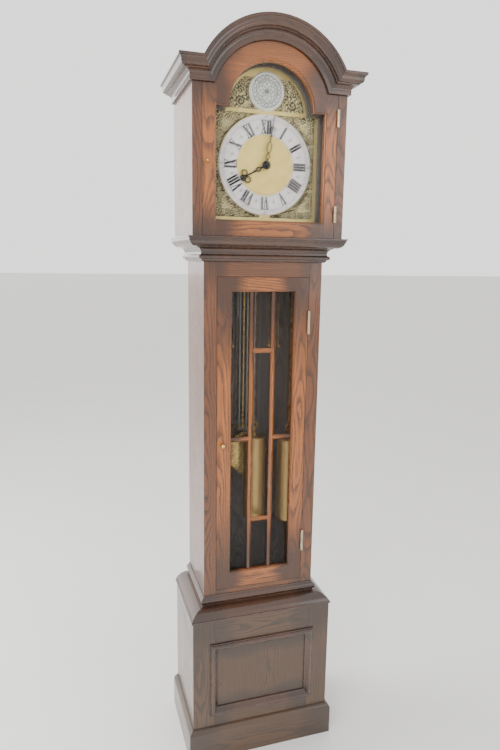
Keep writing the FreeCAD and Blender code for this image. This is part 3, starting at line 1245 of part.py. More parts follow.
def makeAnchor():
    """The recoil anchor, its arbor through the back plate, and the crutch that guides the pendulum."""
    thick = size.wheelThickness * 1.6
    reach = size.escapeRadius
    points = ANCHOR_SHARES + mirrored(ANCHOR_SHARES[1:-1])
    face = Part.Face(Part.makePolygon([Vector(x * reach, z * reach, 0) for x, z in points + points[:1]]))
    anchor = standing(face.extrude(Vector(0, 0, thick)), depthOf("escapeWheel") - thick / 4)
    behind = size.backPlate + size.plateThickness + size.slideGap - size.trainFront
    rear = standing(drum(size.pivotRadius * 1.6, behind + size.plateThickness - depthOf("escapeWheel")),
                    depthOf("escapeWheel"))
    crutchTop = standing(drum(size.arborRadius * 1.8, size.plateThickness), behind)
    drop = size.springHalf * 22
    width = size.springHalf
    rod = Part.makeBox(width, drop, size.plateThickness / 2, Vector(-width / 2, -drop, behind))
    toRod = size.pendulumPlane - size.trainFront - behind
    arm = Part.makeBox(width * 3, width, toRod + size.rodRadius * 2, Vector(-width * 1.5, -drop, behind))
    slot = size.rodRadius + size.slideGap
    gap = Part.makeBox(2 * slot, width * 3, size.rodRadius * 8,
                       Vector(-slot, -drop - width, behind + toRod - size.rodRadius - size.slideGap * 3))
    onArbor("pallet_anchor", [anchor, rear, crutchTop, rod, arm.cut(gap)]
            + arbor(SLIM_ARBOR_SHARE * size.pivotRadius), centres["pallet"])


def plateOutline(bores):
    holes = [rectangle(-size.plateHalf, size.plateFoot, size.plateHalf, size.plateTop)]
    for (x, z), radius in bores:
        holes.append([(x - radius, z), ((x, z + radius), (x + radius, z)),
                      ((x, z - radius), (x - radius, z))])
    return holes


def makeMovementFrame():
    """Plates, pillars, dial feet, back cock and the brackets of the hammer arbor."""
    pivot = size.pivotRadius + size.runningGap
    common = [(centres[name], pivot) for name in ("great", "third", "escape", "strike", "chime")]
    front = common + [(centres["centre"], size.cannonRadius + size.slideGap), (centres["pallet"], pivot),
                      (centres["minute"], pivot)]
    back = common + [(centres["centre"], pivot),
                     (centres["pallet"], size.pivotRadius * 1.6 + size.runningGap)]
    parts = []
    for name, bores, y in (("front", front, "frontPlate + plateThickness"),
                           ("back", back, "backPlate + plateThickness")):
        plate = body(name + "_plate")
        pad(plate, "XZ_Plane", plateOutline(bores), "plateThickness")
        place(plate, 0, y, 0)
        parts.append(plate)
    index = 0
    for x in ("-plateHalf + pillarInset", "plateHalf - pillarInset"):
        for z in ("plateFoot + pillarInset", "plateTop - pillarInset"):
            index += 1
            parts.append(dowel("pillar_%d" % index, "pillarRadius", "plateSpacing", x, "trainFront", z,
                               NORTH))
            parts.append(dowel("dial_foot_%d" % index, "pillarRadius / 2", "dialFootLength", x,
                               "dialRear", z, NORTH))
    rear = "backPlate + plateThickness"
    cockReach = "pendulumPlane + rodRadius * 3 - " + "(" + rear + ")"
    shelf = block("cock_shelf", "-springHalf * 3", rear, "pendulumRise + springHalf * 2", "springHalf * 6",
                  cockReach, "springHalf")
    foot = block("cock_foot", "-springHalf * 3", rear, "pendulumRise + springHalf", "springHalf * 6",
                 "plateThickness", "springHalf")
    grip = block("cock_grip", "-springHalf * 2", "pendulumPlane - rodRadius", "pendulumRise + springHalf",
                 "springHalf * 4", "rodRadius * 2", "springHalf")
    slot = block("cock_slot", "-springHalf - slideGap", "pendulumPlane - springThickness / 2 - runningGap",
                 "pendulumRise", "springHalf * 2 + slideGap * 2", "springThickness + 2 * runningGap",
                 "springHalf * 2.5")
    parts.append(without("back_cock", fused("cock_blank", [shelf, foot, grip]), [slot]))
    arborHalf = "(rodSpacing * 3)"
    brackets = [block("hammer_bracket_" + name, x, rear, "hammerArborHeight - pillarRadius", "plateThickness",
                      "hammerPlane + pillarRadius - (" + rear + ")", "pillarRadius * 2")
                for name, x in (("left", "-" + arborHalf + " - plateThickness"), ("right", arborHalf))]
    shaft = dowel("hammer_shaft", "pivotRadius * 1.5", "2 * " + arborHalf, "-" + arborHalf, "hammerPlane",
                  "hammerArborHeight", EAST)
    parts += brackets + [shaft]
    keep("movement_frame", grouped("movement_frame", parts))


def hammer(x):
    """A hammer hung on its arbor: collar, flat tail and a leather-faced head that points at its rod."""
    radius = size.pivotRadius * 1.5
    collar = Part.makeCylinder(radius * 2.2, size.hammerHeadRadius * 2, Vector(x - size.hammerHeadRadius, 0, 0),
                               EAST)
    tail = Part.makeBox(size.springHalf, size.springThickness * 3, size.hammerLength,
                        Vector(x - size.springHalf / 2, -size.springThickness * 1.5, -size.hammerLength))
    reach = size.chimeRodPlane - size.hammerPlane - size.chimeRodRadius - size.slideGap * 4
    head = Part.makeCylinder(size.hammerHeadRadius, size.hammerHeadLength,
                             Vector(x, reach - size.hammerHeadLength, -size.hammerLength), NORTH)
    neck = Part.makeCylinder(radius, reach, Vector(x, 0, -size.hammerLength), NORTH)
    bore = Part.makeCylinder(radius + size.runningGap, size.hammerHeadRadius * 4,
                             Vector(x - size.hammerHeadRadius * 2, 0, 0), EAST)
    solid = collar.fuse([tail, neck, head]).cut(bore).removeSplitter()
    solid.translate(Vector(0, size.hammerPlane, size.hammerArborHeight))
    return solid


def makeChime():
    places = [(index - 2) * size.rodSpacing for index in range(5)]
    block("chime_block_wood", "-rodSpacing * 3", "boardFace - blockDepth", "blockTop - blockHeight",
          "rodSpacing * 6", "blockDepth", "blockHeight")
    wood = doc.getObject("chime_block_wood")
    rods = []
    for index, x in enumerate(places):
        rod = doc.addObject("Part::Cylinder", "chime_rod_%d" % index)
        bind(rod, Radius="chimeRodRadius", Height="longRod - %d * rodStep" % index)
        bind(rod, Placement_Base_x="%d * rodSpacing" % (index - 2), Placement_Base_y="chimeRodPlane",
             Placement_Base_z="blockTop - blockHeight - longRod + %d * rodStep" % index)
        rods.append(rod)
    keep("chime_rods", grouped("chime_rods", [wood] + rods))
    shaped("strike_hammer", hammer(places[0]))
    shaped("chime_hammers", Part.makeCompound([hammer(x) for x in places[1:]]))


BOB_SWELL_SHARE = 0.72
BOB_RIM_SHARE = 0.3
# A weight's cap, as shares of its radius and height, and its neck, as shares of the hook's wire.
CAP_FOOT_SHARE = 0.97
CAP_LIP_SHARE = 0.25
CAP_BEND_SHARE = 0.8
NECK_FOOT_SHARE = 3
NECK_TOP_SHARE = 2.4
NECK_RISE_SHARE = 1.6


def makePendulum():
    """A rod with a five-bar grid, hung by a strip of spring, and a lens-shaped bob over a rating nut."""
    gridBars = [dowel("grid_bar_%d" % index, "rodRadius", "gridTop - gridBottom",
                      "%d * gridHalf / 2" % (index - 2), "pendulumPlane", "gridBottom")
                for index in range(5)]
    heads = [block("grid_head_%d" % index, "-gridHalf - rodRadius * 1.5", "pendulumPlane - rodRadius * 1.4", z,
                   "2 * gridHalf + rodRadius * 3", "rodRadius * 2.8", "gridBarHeight")
             for index, z in enumerate(("gridTop - gridBarHeight / 2", "gridBottom - gridBarHeight / 2"))]
    nutTop = "bobHeight - bobRadius - slideGap"
    upper = dowel("upper_rod", "rodRadius", "pendulumRise - springHalf * 6 - gridTop", 0, "pendulumPlane",
                  "gridTop")
    lower = dowel("lower_rod", "rodRadius", "gridBottom - (" + nutTop + ") + nutHeight * 3", 0,
                  "pendulumPlane", nutTop + " - nutHeight * 3")
    nut = dowel("rating_nut", "nutRadius", "nutHeight", 0, "pendulumPlane", nutTop + " - nutHeight")
    strip = block("suspension_strip", "-springHalf", "pendulumPlane - springThickness / 2",
                  "pendulumRise - springHalf * 6", "2 * springHalf", "springThickness", "springHalf * 7.5")
    hook = block("suspension_hook", "-springHalf * 1.2", "pendulumPlane - rodRadius",
                 "pendulumRise - springHalf * 6", "springHalf * 2.4", "rodRadius * 2", "springHalf * 2")
    keep("pendulum_rod", fused("pendulum_rod", gridBars + heads + [upper, lower, nut, strip, hook]))
    half = size.bobThickness / 2
    rim = size.bobRim / 2
    radius = size.bobRadius
    swell = BOB_SWELL_SHARE * half + BOB_RIM_SHARE * rim
    outline = [(0, -half), ((radius / 2, -swell), (radius, -rim)), (radius, rim),
               ((radius / 2, swell), (0, half))]
    lens = turned("bob_lens", outline)
    lens.Placement = Placement(Vector(0, size.pendulumPlane, size.bobHeight), Rotation(EAST, 90))
    bore = dowel("bob_bore", "rodRadius + slideGap", "2 * bobRadius + 2 * cutOver", 0, "pendulumPlane",
                 "bobHeight - bobRadius - cutOver")
    keep("pendulum_bob", without("pendulum_bob", lens, [bore]))


def makeWeight(name, low, x):
    """A brass-cased weight: a tube with two turned caps and a wire hook, on the chain's own line."""
    radius, cap, edge = size.weightRadius, size.capRadius, size.capHeight
    top = size.weightLength
    stem = size.hookWire
    foot = cap * CAP_FOOT_SHARE
    lip = edge * CAP_LIP_SHARE
    bend = edge * CAP_BEND_SHARE
    outline = [(0, 0), (foot, 0), (cap, lip), (cap, bend), (radius, edge), (radius, top - edge),
               (cap, top - bend), (cap, top - lip), (foot, top), (stem * NECK_FOOT_SHARE, top),
               (stem * NECK_TOP_SHARE, top + edge), (stem, top + edge * NECK_RISE_SHARE),
               (stem, top + size.hookRise), (0, top + size.hookRise)]
    turnedBody = turned(name + "_weight_case", outline)
    turnedBody.Placement = Placement(Vector(x, size.chainPlane, low), Rotation())
    hook = doc.addObject("Part::Torus", name + "_weight_hook")
    hook.Radius1 = size.hookRadius
    hook.Radius2 = size.hookWire
    hook.Placement = Placement(Vector(x, size.chainPlane, low + top + size.hookRise + size.hookRadius),
                               Rotation(EAST, 90))
    keep(name + "_weight", fused(name + "_weight", [turnedBody, hook]))


def makeChain(name, x, side, hookTop):
    """A chain over its wheel: a straight run to the weight, the turn over the wheel, a run to the free end."""
    wheel = centres["great"][1]
    radius = size.chainWheelRadius
    y = size.chainPlane
    weightX = x + side * radius
    freeX = x - side * radius
    freeEnd = size.freeEndHeight + size.ringRadius + size.ringWire + size.slideGap
    path = Part.Wire([Part.makeLine(Vector(weightX, y, hookTop), Vector(weightX, y, wheel)),
                      Part.Arc(Vector(weightX, y, wheel), Vector(x, y, wheel + radius),
                               Vector(freeX, y, wheel)).toShape(),
                      Part.makeLine(Vector(freeX, y, wheel), Vector(freeX, y, freeEnd))])
    link = Part.Wire([Part.Circle(Vector(weightX, y, hookTop), UP, size.chainRadius).toShape()])
    shaped(name + "_chain", path.makePipeShell([link], True, False))
    ring = Part.makeTorus(size.ringRadius, size.ringWire, Vector(freeX, y, size.freeEndHeight), EAST)
    shaped(name + "_chain_ring", ring)


def makeDrive():
    for name, low, side in (("going", size.goingWeightLow, -1), ("strike", size.strikeWeightLow, -1),
                            ("chime", size.chimeWeightLow, 1)):
        x = chainCentres[name]
        makeWeight(name, low, x + side * size.chainWheelRadius)
        hookTop = low + size.weightLength + size.hookRise + 2 * size.hookRadius + size.hookWire + size.slideGap
        makeChain(name, x, side, hookTop)


makeBase()
makePanelMoulding()
makeTrunk()
makeBackboard()
makeSeatboard()
makeHood()
makeHoodRoof()
makeCornice()
makeDialMask()
makeTrunkDoorFrame()
makeHoodDoor()
makeHinges()
makeCatch("trunk_door_catch", size.trunkCatchX, size.trunkCatchHeight, size.trunkFront, size.trunkKnobRadius,
          size.pinRadius * 2, size.trunkHalf + size.trunkCatchX - size.sideThickness - size.joinGap)
makeCatch("hood_door_catch", size.hoodCatchX, size.hoodCatchHeight, size.hoodFront, size.hoodKnobRadius,
          size.pinRadius, size.hoodInner + size.hoodCatchX - size.joinGap)
makeDial()
makeSpandrels()
makeHands()
makeGoingTrain()
makeAnchor()
makeMovementFrame()
makeChime()
makePendulum()
makeDrive()

doc.recompute()
faults = [item.Label for item in doc.Objects if "Invalid" in item.State or "Error" in item.State]
for node, item in subParts.items():
    if item.Shape.isNull() or not item.Shape.isValid() or not item.Shape.Solids:
        faults.append(node)
if faults:
    raise ValueError("these objects failed: " + ", ".join(faults))
os.makedirs("parts", exist_ok=True)
for node, item in subParts.items():
    item.Shape.exportStep("parts/%s.step" % node)
print(len(subParts), "sub-parts written")
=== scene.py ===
import json
import math
import random

import bmesh
import bpy
from mathutils import Matrix, Vector


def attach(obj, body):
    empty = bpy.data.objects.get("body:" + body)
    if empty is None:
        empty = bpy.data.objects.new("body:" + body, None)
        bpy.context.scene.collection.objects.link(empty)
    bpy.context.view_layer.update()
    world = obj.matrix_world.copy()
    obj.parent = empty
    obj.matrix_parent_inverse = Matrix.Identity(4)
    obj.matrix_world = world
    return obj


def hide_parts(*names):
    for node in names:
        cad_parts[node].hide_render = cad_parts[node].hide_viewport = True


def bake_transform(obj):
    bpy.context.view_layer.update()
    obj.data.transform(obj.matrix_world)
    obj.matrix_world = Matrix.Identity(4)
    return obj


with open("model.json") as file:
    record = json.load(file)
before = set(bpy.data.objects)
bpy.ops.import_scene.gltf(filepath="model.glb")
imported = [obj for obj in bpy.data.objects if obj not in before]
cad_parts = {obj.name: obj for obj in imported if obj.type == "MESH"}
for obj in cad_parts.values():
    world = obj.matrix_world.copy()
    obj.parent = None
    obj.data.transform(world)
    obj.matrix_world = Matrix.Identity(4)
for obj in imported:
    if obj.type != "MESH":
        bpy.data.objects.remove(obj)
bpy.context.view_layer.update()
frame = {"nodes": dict(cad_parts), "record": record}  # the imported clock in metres, with its front towards -Y
random.seed(11)
print("clock frame loaded")

record = frame["record"]
bodyOf = {node: body for body, nodes in record["behaviour"]["bodies"].items() for node in nodes}
slotOf = {row["node"]: row["material_slot"] for row in record["subparts"]}

# Helpers for node trees.


def put(tree, kind, settings=None, **inputs):
    made = tree.nodes.new(kind)
    for key, value in (settings or {}).items():
        setattr(made, key, value)
    for key, value in inputs.items():
        socket = made.inputs[int(key[2:])] if key.startswith("in") else made.inputs[key.replace("_", " ")]
        if isinstance(value, bpy.types.NodeSocket):
            tree.links.new(value, socket)
        else:
            socket.default_value = value
    return made.outputs[0]


def sums(tree, operation, first, second=0.0, clamp=False):
    return put(tree, "ShaderNodeMath", {"operation": operation, "use_clamp": clamp}, in0=first, in1=second)


def blendColour(tree, share, first, second, kind="MIX"):
    made = tree.nodes.new("ShaderNodeMix")
    made.data_type = "RGBA"
    made.blend_type = kind
    for index, value in ((0, share), (6, first), (7, second)):
        if isinstance(value, bpy.types.NodeSocket):
            tree.links.new(value, made.inputs[index])
        else:
            made.inputs[index].default_value = value
    return made.outputs[2]


def spread(tree, value, low, high, toLow=0.0, toHigh=1.0, kind="LINEAR"):
    made = tree.nodes.new("ShaderNodeMapRange")
    made.interpolation_type = kind
    tree.links.new(value, made.inputs[0])
    for index, number in ((1, low), (2, high), (3, toLow), (4, toHigh)):
        made.inputs[index].default_value = number
    return made.outputs[0]


def cloud(tree, place, scale, detail=2.0, rough=0.5):
    return put(tree, "ShaderNodeTexNoise", None, Vector=place, Scale=scale, Detail=detail, Roughness=rough)


def stretched(tree, place, along, across, depth):
    return put(tree, "ShaderNodeMapping", None, Vector=place, Scale=(along, across, depth))


def attribute(tree, name):
    return put(tree, "ShaderNodeAttribute", {"attribute_name": name}).node.outputs["Vector"]


def objectPlace(tree):
    return put(tree, "ShaderNodeTexCoord").node.outputs["Object"]


def newGroup(name, inputs, outputs):
    tree = bpy.data.node_groups.new(name, "ShaderNodeTree")
    for label, kind, value in inputs:
        socket = tree.interface.new_socket(name=label, in_out="INPUT", socket_type=kind)
        socket.default_value = value
    for label, kind in outputs:
        tree.interface.new_socket(name=label, in_out="OUTPUT", socket_type=kind)
    return tree, tree.nodes.new("NodeGroupInput").outputs, tree.nodes.new("NodeGroupOutput").inputs


def useGroup(tree, group, **inputs):
    made = tree.nodes.new("ShaderNodeGroup")
    made.node_tree = group
    for key, value in inputs.items():
        made.inputs[key].default_value = value
    return made.outputs


def newMaterial(name):
    made = bpy.data.materials.new(name)
    made.use_nodes = True
    return made, made.node_tree, made.node_tree.nodes["Principled BSDF"]


def connect(tree, shader, **links):
    for key, value in links.items():
        socket = shader.inputs[key.replace("_", " ")]
        if isinstance(value, bpy.types.NodeSocket):
            tree.links.new(value, socket)
        else:
            socket.default_value = value


def bump(tree, height, distance, strength=1.0):
    return put(tree, "ShaderNodeBump", None, Height=height, Distance=distance, Strength=strength)


# Oak. Each board carries its own coordinates, so its figure runs along it and differs from its neighbour's.

oakLook = {
    "ringPitch": 0.0036, "pithDepth": 0.062, "pithAside": 0.03, "wobble": 0.055, "ripple": 0.004,
    "earlyWood": 0.55, "seedShift": (3.1, 1.7, 2.3), "wanderScale": (2.8, 6.0, 6.0),
    "rippleScale": (14.0, 60.0, 60.0), "poreScale": (70.0, 1100.0, 1100.0), "poreStart": (0.5, 0.66),
    "streakScale": (6.0, 190.0, 190.0), "patchScale": (3.0, 12.0, 12.0), "bandShare": 0.52,
    "streakShare": 0.34, "poreShare": 0.45, "endFade": 0.55, "sideStart": 0.7, "edgeTonerAndShade": 0.4,
    "poreRough": 0.2, "handling": 9.0, "grainDepth": 0.00022, "coatRough": 0.10,
}


def makeOakGroup():
    tree, given, out = newGroup("oakFigure", [
        ("Dark", "NodeSocketColor", (0.05, 0.02, 0.01, 1)), ("Light", "NodeSocketColor", (0.4, 0.2, 0.1, 1)),
        ("Toner", "NodeSocketFloat", 0.6), ("Reach", "NodeSocketFloat", 0.45),
        ("Shade", "NodeSocketFloat", 0.0), ("Polish", "NodeSocketFloat", 0.35)],
        [("Color", "NodeSocketColor"), ("Roughness", "NodeSocketFloat"), ("Height", "NodeSocketFloat")])
    look = oakLook
    grain = attribute(tree, "grain")
    board = put(tree, "ShaderNodeSeparateXYZ", None, Vector=attribute(tree, "board")).node.outputs
    seed = board[2]
    x, y, z = (sums(tree, "MULTIPLY", seed, part) for part in look["seedShift"])
    shift = put(tree, "ShaderNodeCombineXYZ", None, X=x, Y=y, Z=z)
    place = put(tree, "ShaderNodeVectorMath", {"operation": "ADD"}, in0=grain, in1=shift)
    # growth rings round a pith that lies behind the face and wanders along the board
    wander = sums(tree, "SUBTRACT", cloud(tree, stretched(tree, place, *look["wanderScale"]), 1.0, 1.0), 0.5)
    ripple = sums(tree, "SUBTRACT", cloud(tree, stretched(tree, place, *look["rippleScale"]), 1.0, 2.0), 0.5)
    axes = put(tree, "ShaderNodeSeparateXYZ", None, Vector=grain).node.outputs
    aside = put(tree, "ShaderNodeTexWhiteNoise", {"noise_dimensions": "1D"}, W=seed)
    across = sums(tree, "ADD", axes[1], spread(tree, aside, 0.0, 1.0, -look["pithAside"], look["pithAside"]))
    depth = sums(tree, "ADD", axes[2], look["pithDepth"])
    depth = sums(tree, "ADD", depth, sums(tree, "MULTIPLY", wander, look["wobble"]))
    radius = sums(tree, "ADD", sums(tree, "POWER", across, 2.0), sums(tree, "POWER", depth, 2.0))
    radius = sums(tree, "ADD", sums(tree, "SQRT", radius), sums(tree, "MULTIPLY", ripple, look["ripple"]))
    ring = sums(tree, "FRACT", sums(tree, "DIVIDE", radius, look["ringPitch"]))
    early = spread(tree, ring, 0.0, look["earlyWood"], 1.0, 0.0, "SMOOTHSTEP")
    band = sums(tree, "MAXIMUM", early, spread(tree, ring, 0.9, 1.0, 0.0, 1.0, "SMOOTHSTEP"))
    # open pores lie in the early wood and hold the dark stain
    speck = cloud(tree, stretched(tree, place, *look["poreScale"]), 1.0, 1.0)
    pores = spread(tree, speck, *look["poreStart"], 0.0, 1.0, "SMOOTHSTEP")
    pores = sums(tree, "MULTIPLY", pores, sums(tree, "ADD", sums(tree, "MULTIPLY", band, 0.7), 0.3))
    streak = cloud(tree, stretched(tree, place, *look["streakScale"]), 1.0, 2.0, 0.6)
    streak = sums(tree, "MULTIPLY", spread(tree, streak, 0.3, 0.7), look["streakShare"])
    figure = sums(tree, "ADD", sums(tree, "MULTIPLY", band, look["bandShare"]), streak)
    figure = sums(tree, "ADD", figure, sums(tree, "MULTIPLY", pores, look["poreShare"]), True)
    # darker towards the ends and edges of every board, with a soft uneven border: partly sprayed toner, partly
    # painted shade at the joints and mouldings, which leaves a painted highlight along the middle of each
    # board
    patch = sums(tree, "SUBTRACT", cloud(tree, stretched(tree, place, *look["patchScale"]), 1.0, 1.0), 0.5)
    far = sums(tree, "ADD", sums(tree, "ABSOLUTE", board[0]), sums(tree, "MULTIPLY", patch, 0.5))
    start = sums(tree, "SUBTRACT", far, given["Reach"])
    endTonerAndShade = spread(tree, start, 0.0, look["endFade"], 0.0, 1.0, "SMOOTHSTEP")
    edge = sums(tree, "ABSOLUTE", board[1])
    edgeTonerAndShade = spread(tree, edge, look["sideStart"], 1.0, 0.0, look["edgeTonerAndShade"], "SMOOTHSTEP")
    tonerAndShade = sums(tree, "MULTIPLY", sums(tree, "MAXIMUM", endTonerAndShade, edgeTonerAndShade), given["Toner"])
    tonerAndShade = sums(tree, "MAXIMUM", tonerAndShade, given["Shade"])
    colour = blendColour(tree, figure, given["Light"], given["Dark"])
    colour = blendColour(tree, tonerAndShade, colour, given["Dark"])
    tree.links.new(colour, out["Color"])
    rough = sums(tree, "ADD", given["Polish"], sums(tree, "MULTIPLY", pores, look["poreRough"]))
    handled = spread(tree, cloud(tree, grain, look["handling"], 3.0), 0.3, 0.7, -0.04, 0.06)
    rough = sums(tree, "ADD", rough, handled)
    tree.links.new(rough, out["Roughness"])
    dents = sums(tree, "ADD", sums(tree, "MULTIPLY", pores, 0.8), sums(tree, "MULTIPLY", band, 0.2))
    tree.links.new(sums(tree, "SUBTRACT", 1.0, dents), out["Height"])
    return tree


oakGroup = makeOakGroup()

# the darkening of each board's ends and edges is partly toner and partly painted shade
oakFinishes = {
    "stainedOak": {"dark": (0.045, 0.018, 0.009, 1), "light": (0.45, 0.140, 0.030, 1), "tonerAndShade": 0.92,
                   "reach": 0.36, "shade": 0.0, "polish": 0.28, "coat": 0.5, "relief": 0.6},
    "stileOak": {"dark": (0.040, 0.018, 0.010, 1), "light": (0.27, 0.088, 0.027, 1), "tonerAndShade": 0.86,
                 "reach": 0.45, "shade": 0.35, "polish": 0.28, "coat": 0.5, "relief": 0.6},
    "mouldingOak": {"dark": (0.030, 0.016, 0.011, 1), "light": (0.15, 0.058, 0.026, 1), "tonerAndShade": 0.85,
                    "reach": 0.20, "shade": 0.5, "polish": 0.22, "coat": 0.7, "relief": 0.3},
    # the base's oak is darker than the case above it: painted shade on the lower case
    "shadedBaseOak": {"dark": (0.034, 0.022, 0.015, 1), "light": (0.14, 0.067, 0.028, 1), "tonerAndShade": 0.8,
                "reach": 0.25, "shade": 0.35, "polish": 0.30, "coat": 0.5, "relief": 0.5},
    "plainOak": {"dark": (0.075, 0.066, 0.062, 1), "light": (0.19, 0.160, 0.140, 1), "tonerAndShade": 0.3,
                 "reach": 0.6, "shade": 0.2, "polish": 0.62, "coat": 0.0, "relief": 0.7},
}


def oak(name):
    look = oakFinishes[name]
    made, tree, shader = newMaterial(name)
    outs = useGroup(tree, oakGroup, Dark=look["dark"], Light=look["light"], Toner=look["tonerAndShade"],
                    Reach=look["reach"], Shade=look["shade"], Polish=look["polish"])
    connect(tree, shader, Base_Color=outs["Color"], Roughness=outs["Roughness"],
            Normal=bump(tree, outs["Height"], oakLook["grainDepth"], look["relief"]),
            Coat_Weight=look["coat"], Coat_Roughness=oakLook["coatRough"])
    return made


oaks = {name: oak(name) for name in oakFinishes}

# Metals, glass, leather and wax.

metalLooks = {
    "brass": {"tone": (0.66, 0.47, 0.17), "tarnish": (0.30, 0.18, 0.07), "rough": 0.2, "cover": 0.35,
              "metal": 1.0},
    "oldBrass": {"tone": (0.58, 0.50, 0.36), "tarnish": (0.25, 0.18, 0.10), "rough": 0.34, "cover": 0.5,
                 "metal": 0.9},
    "weightBrass": {"tone": (0.42, 0.28, 0.11), "tarnish": (0.26, 0.17, 0.07), "rough": 0.28, "cover": 0.3,
                    "metal": 1.0},
    "dialBrass": {"tone": (0.80, 0.64, 0.24), "tarnish": (0.50, 0.38, 0.13), "rough": 0.36, "cover": 0.4,
                  "metal": 0.6},
    "castBrass": {"tone": (0.93, 0.83, 0.48), "tarnish": (0.60, 0.48, 0.20), "rough": 0.34, "cover": 0.4,
                  "metal": 0.3},
    "steel": {"tone": (0.42, 0.41, 0.40), "tarnish": (0.20, 0.17, 0.14), "rough": 0.3, "cover": 0.3,
              "metal": 1.0},
    "bluedSteel": {"tone": (0.012, 0.013, 0.020), "tarnish": (0.02, 0.016, 0.016), "rough": 0.42,
                   "cover": 0.4, "metal": 0.5},
}
wearLook = {
    "blotchScale": 60.0, "blotchStart": (0.42, 0.72), "scratchScale": (60.0, 60.0, 2200.0),
    "scratchStart": (0.35, 0.75), "blotchRough": 0.16, "scratchRough": 0.05, "depth": 0.00002, "relief": 0.5,
}


def makeWearGroup():
    tree, given, out = newGroup("metalWear", [
        ("Tone", "NodeSocketColor", (0.6, 0.4, 0.2, 1)), ("Tarnish", "NodeSocketColor", (0.3, 0.2, 0.1, 1)),
        ("Rough", "NodeSocketFloat", 0.25), ("Cover", "NodeSocketFloat", 0.4)],
        [("Color", "NodeSocketColor"), ("Roughness", "NodeSocketFloat"), ("Height", "NodeSocketFloat")])
    look = wearLook
    place = objectPlace(tree)
    blotch = spread(tree, cloud(tree, place, look["blotchScale"], 4.0, 0.6), *look["blotchStart"])
    lines = cloud(tree, stretched(tree, place, *look["scratchScale"]), 1.0, 1.0)
    scratch = spread(tree, lines, *look["scratchStart"])
    share = sums(tree, "MULTIPLY", blotch, given["Cover"])
    tree.links.new(blendColour(tree, share, given["Tone"], given["Tarnish"]), out["Color"])
    rough = sums(tree, "ADD", given["Rough"], sums(tree, "MULTIPLY", blotch, look["blotchRough"]))
    rough = sums(tree, "ADD", rough, sums(tree, "MULTIPLY", scratch, look["scratchRough"]))
    tree.links.new(rough, out["Roughness"])
    tree.links.new(sums(tree, "SUBTRACT", scratch, sums(tree, "MULTIPLY", blotch, 0.5)), out["Height"])
    return tree


wearGroup = makeWearGroup()


def metal(name):
    look = metalLooks[name]
    made, tree, shader = newMaterial(name)
    outs = useGroup(tree, wearGroup, Tone=(*look["tone"], 1), Tarnish=(*look["tarnish"], 1),
                    Rough=look["rough"], Cover=look["cover"])
    connect(tree, shader, Base_Color=outs["Color"], Roughness=outs["Roughness"],
            Metallic=look["metal"], Normal=bump(tree, outs["Height"], wearLook["depth"], wearLook["relief"]))
    return made


metals = {name: metal(name) for name in metalLooks}
brass, steel = metals["brass"], metals["steel"]

mattedLooks = {
    "mattedDialCentre": {"light": (0.95, 0.78, 0.28, 1), "dark": (0.70, 0.50, 0.12, 1), "rough": 0.4},
    # the spandrel ground is near-black as painted shade under the cast scrolls
    "mattedSpandrelGround": {"light": (0.11, 0.09, 0.05, 1), "dark": (0.05, 0.042, 0.027, 1), "rough": 0.55},
    "punches": 700.0, "punchDepth": 0.0002, "patchScale": 42.0, "metal": 0.8,
}


def mattedBrass(name):
    look, shared = mattedLooks[name], mattedLooks
    made, tree, shader = newMaterial(name)
    place = objectPlace(tree)
    punched = put(tree, "ShaderNodeTexVoronoi", None, Vector=place, Scale=shared["punches"])
    dots = spread(tree, punched, 0.1, 0.7)
    patch = spread(tree, cloud(tree, place, shared["patchScale"], 5.0, 0.7), 0.32, 0.68)
    colour = blendColour(tree, sums(tree, "MULTIPLY", dots, 0.4), look["light"], look["dark"])
    colour = blendColour(tree, sums(tree, "MULTIPLY", patch, 0.45), colour, look["dark"])
    rough = spread(tree, patch, 0.0, 1.0, look["rough"], look["rough"] + 0.15)
    connect(tree, shader, Base_Color=colour, Roughness=rough, Metallic=shared["metal"],
            Normal=bump(tree, dots, shared["punchDepth"], 0.7))
    return made


mattCentre = mattedBrass("mattedDialCentre")
spandrelShadeGround = mattedBrass("mattedSpandrelGround")

speckledLooks = {
    "silveredBrass": {"tone": (0.86, 0.81, 0.79, 1), "spot": (0.70, 0.65, 0.63, 1), "scale": 55.0,
                      "start": (0.35, 0.85), "rough": 0.4, "metal": 0.2, "depth": 0.00002},
    "silveredBoss": {"tone": (0.74, 0.75, 0.71, 1), "spot": (0.50, 0.51, 0.47, 1), "scale": 60.0,
                     "start": (0.35, 0.8), "rough": 0.36, "metal": 0.4, "depth": 0.00002},
    "engravingWax": {"tone": (0.008, 0.009, 0.014, 1), "spot": (0.03, 0.03, 0.036, 1), "scale": 180.0,
                     "start": (0.45, 0.75), "rough": 0.6, "metal": 0.0, "depth": 0.00003},
    "fineEngraving": {"tone": (0.13, 0.12, 0.115, 1), "spot": (0.32, 0.30, 0.28, 1), "scale": 220.0,
                      "start": (0.35, 0.7), "rough": 0.4, "metal": 0.0, "depth": 0.00003},
    "bossEngraving": {"tone": (0.03, 0.032, 0.03, 1), "spot": (0.10, 0.10, 0.095, 1), "scale": 200.0,
                      "start": (0.4, 0.7), "rough": 0.45, "metal": 0.0, "depth": 0.00003},
    "hammerLeather": {"tone": (0.20, 0.10, 0.05, 1), "spot": (0.34, 0.20, 0.11, 1), "scale": 1500.0,
                      "start": (0.3, 0.7), "rough": 0.6, "metal": 0.0, "depth": 0.0001},
}


def speckled(name):
    look = speckledLooks[name]
    made, tree, shader = newMaterial(name)
    spots = spread(tree, cloud(tree, objectPlace(tree), look["scale"], 3.0), *look["start"])
    rough = spread(tree, spots, 0.0, 1.0, look["rough"], look["rough"] + 0.2)
    connect(tree, shader, Base_Color=blendColour(tree, spots, look["tone"], look["spot"]), Roughness=rough,
            Metallic=look["metal"], Normal=bump(tree, spots, look["depth"], 0.4))
    return made


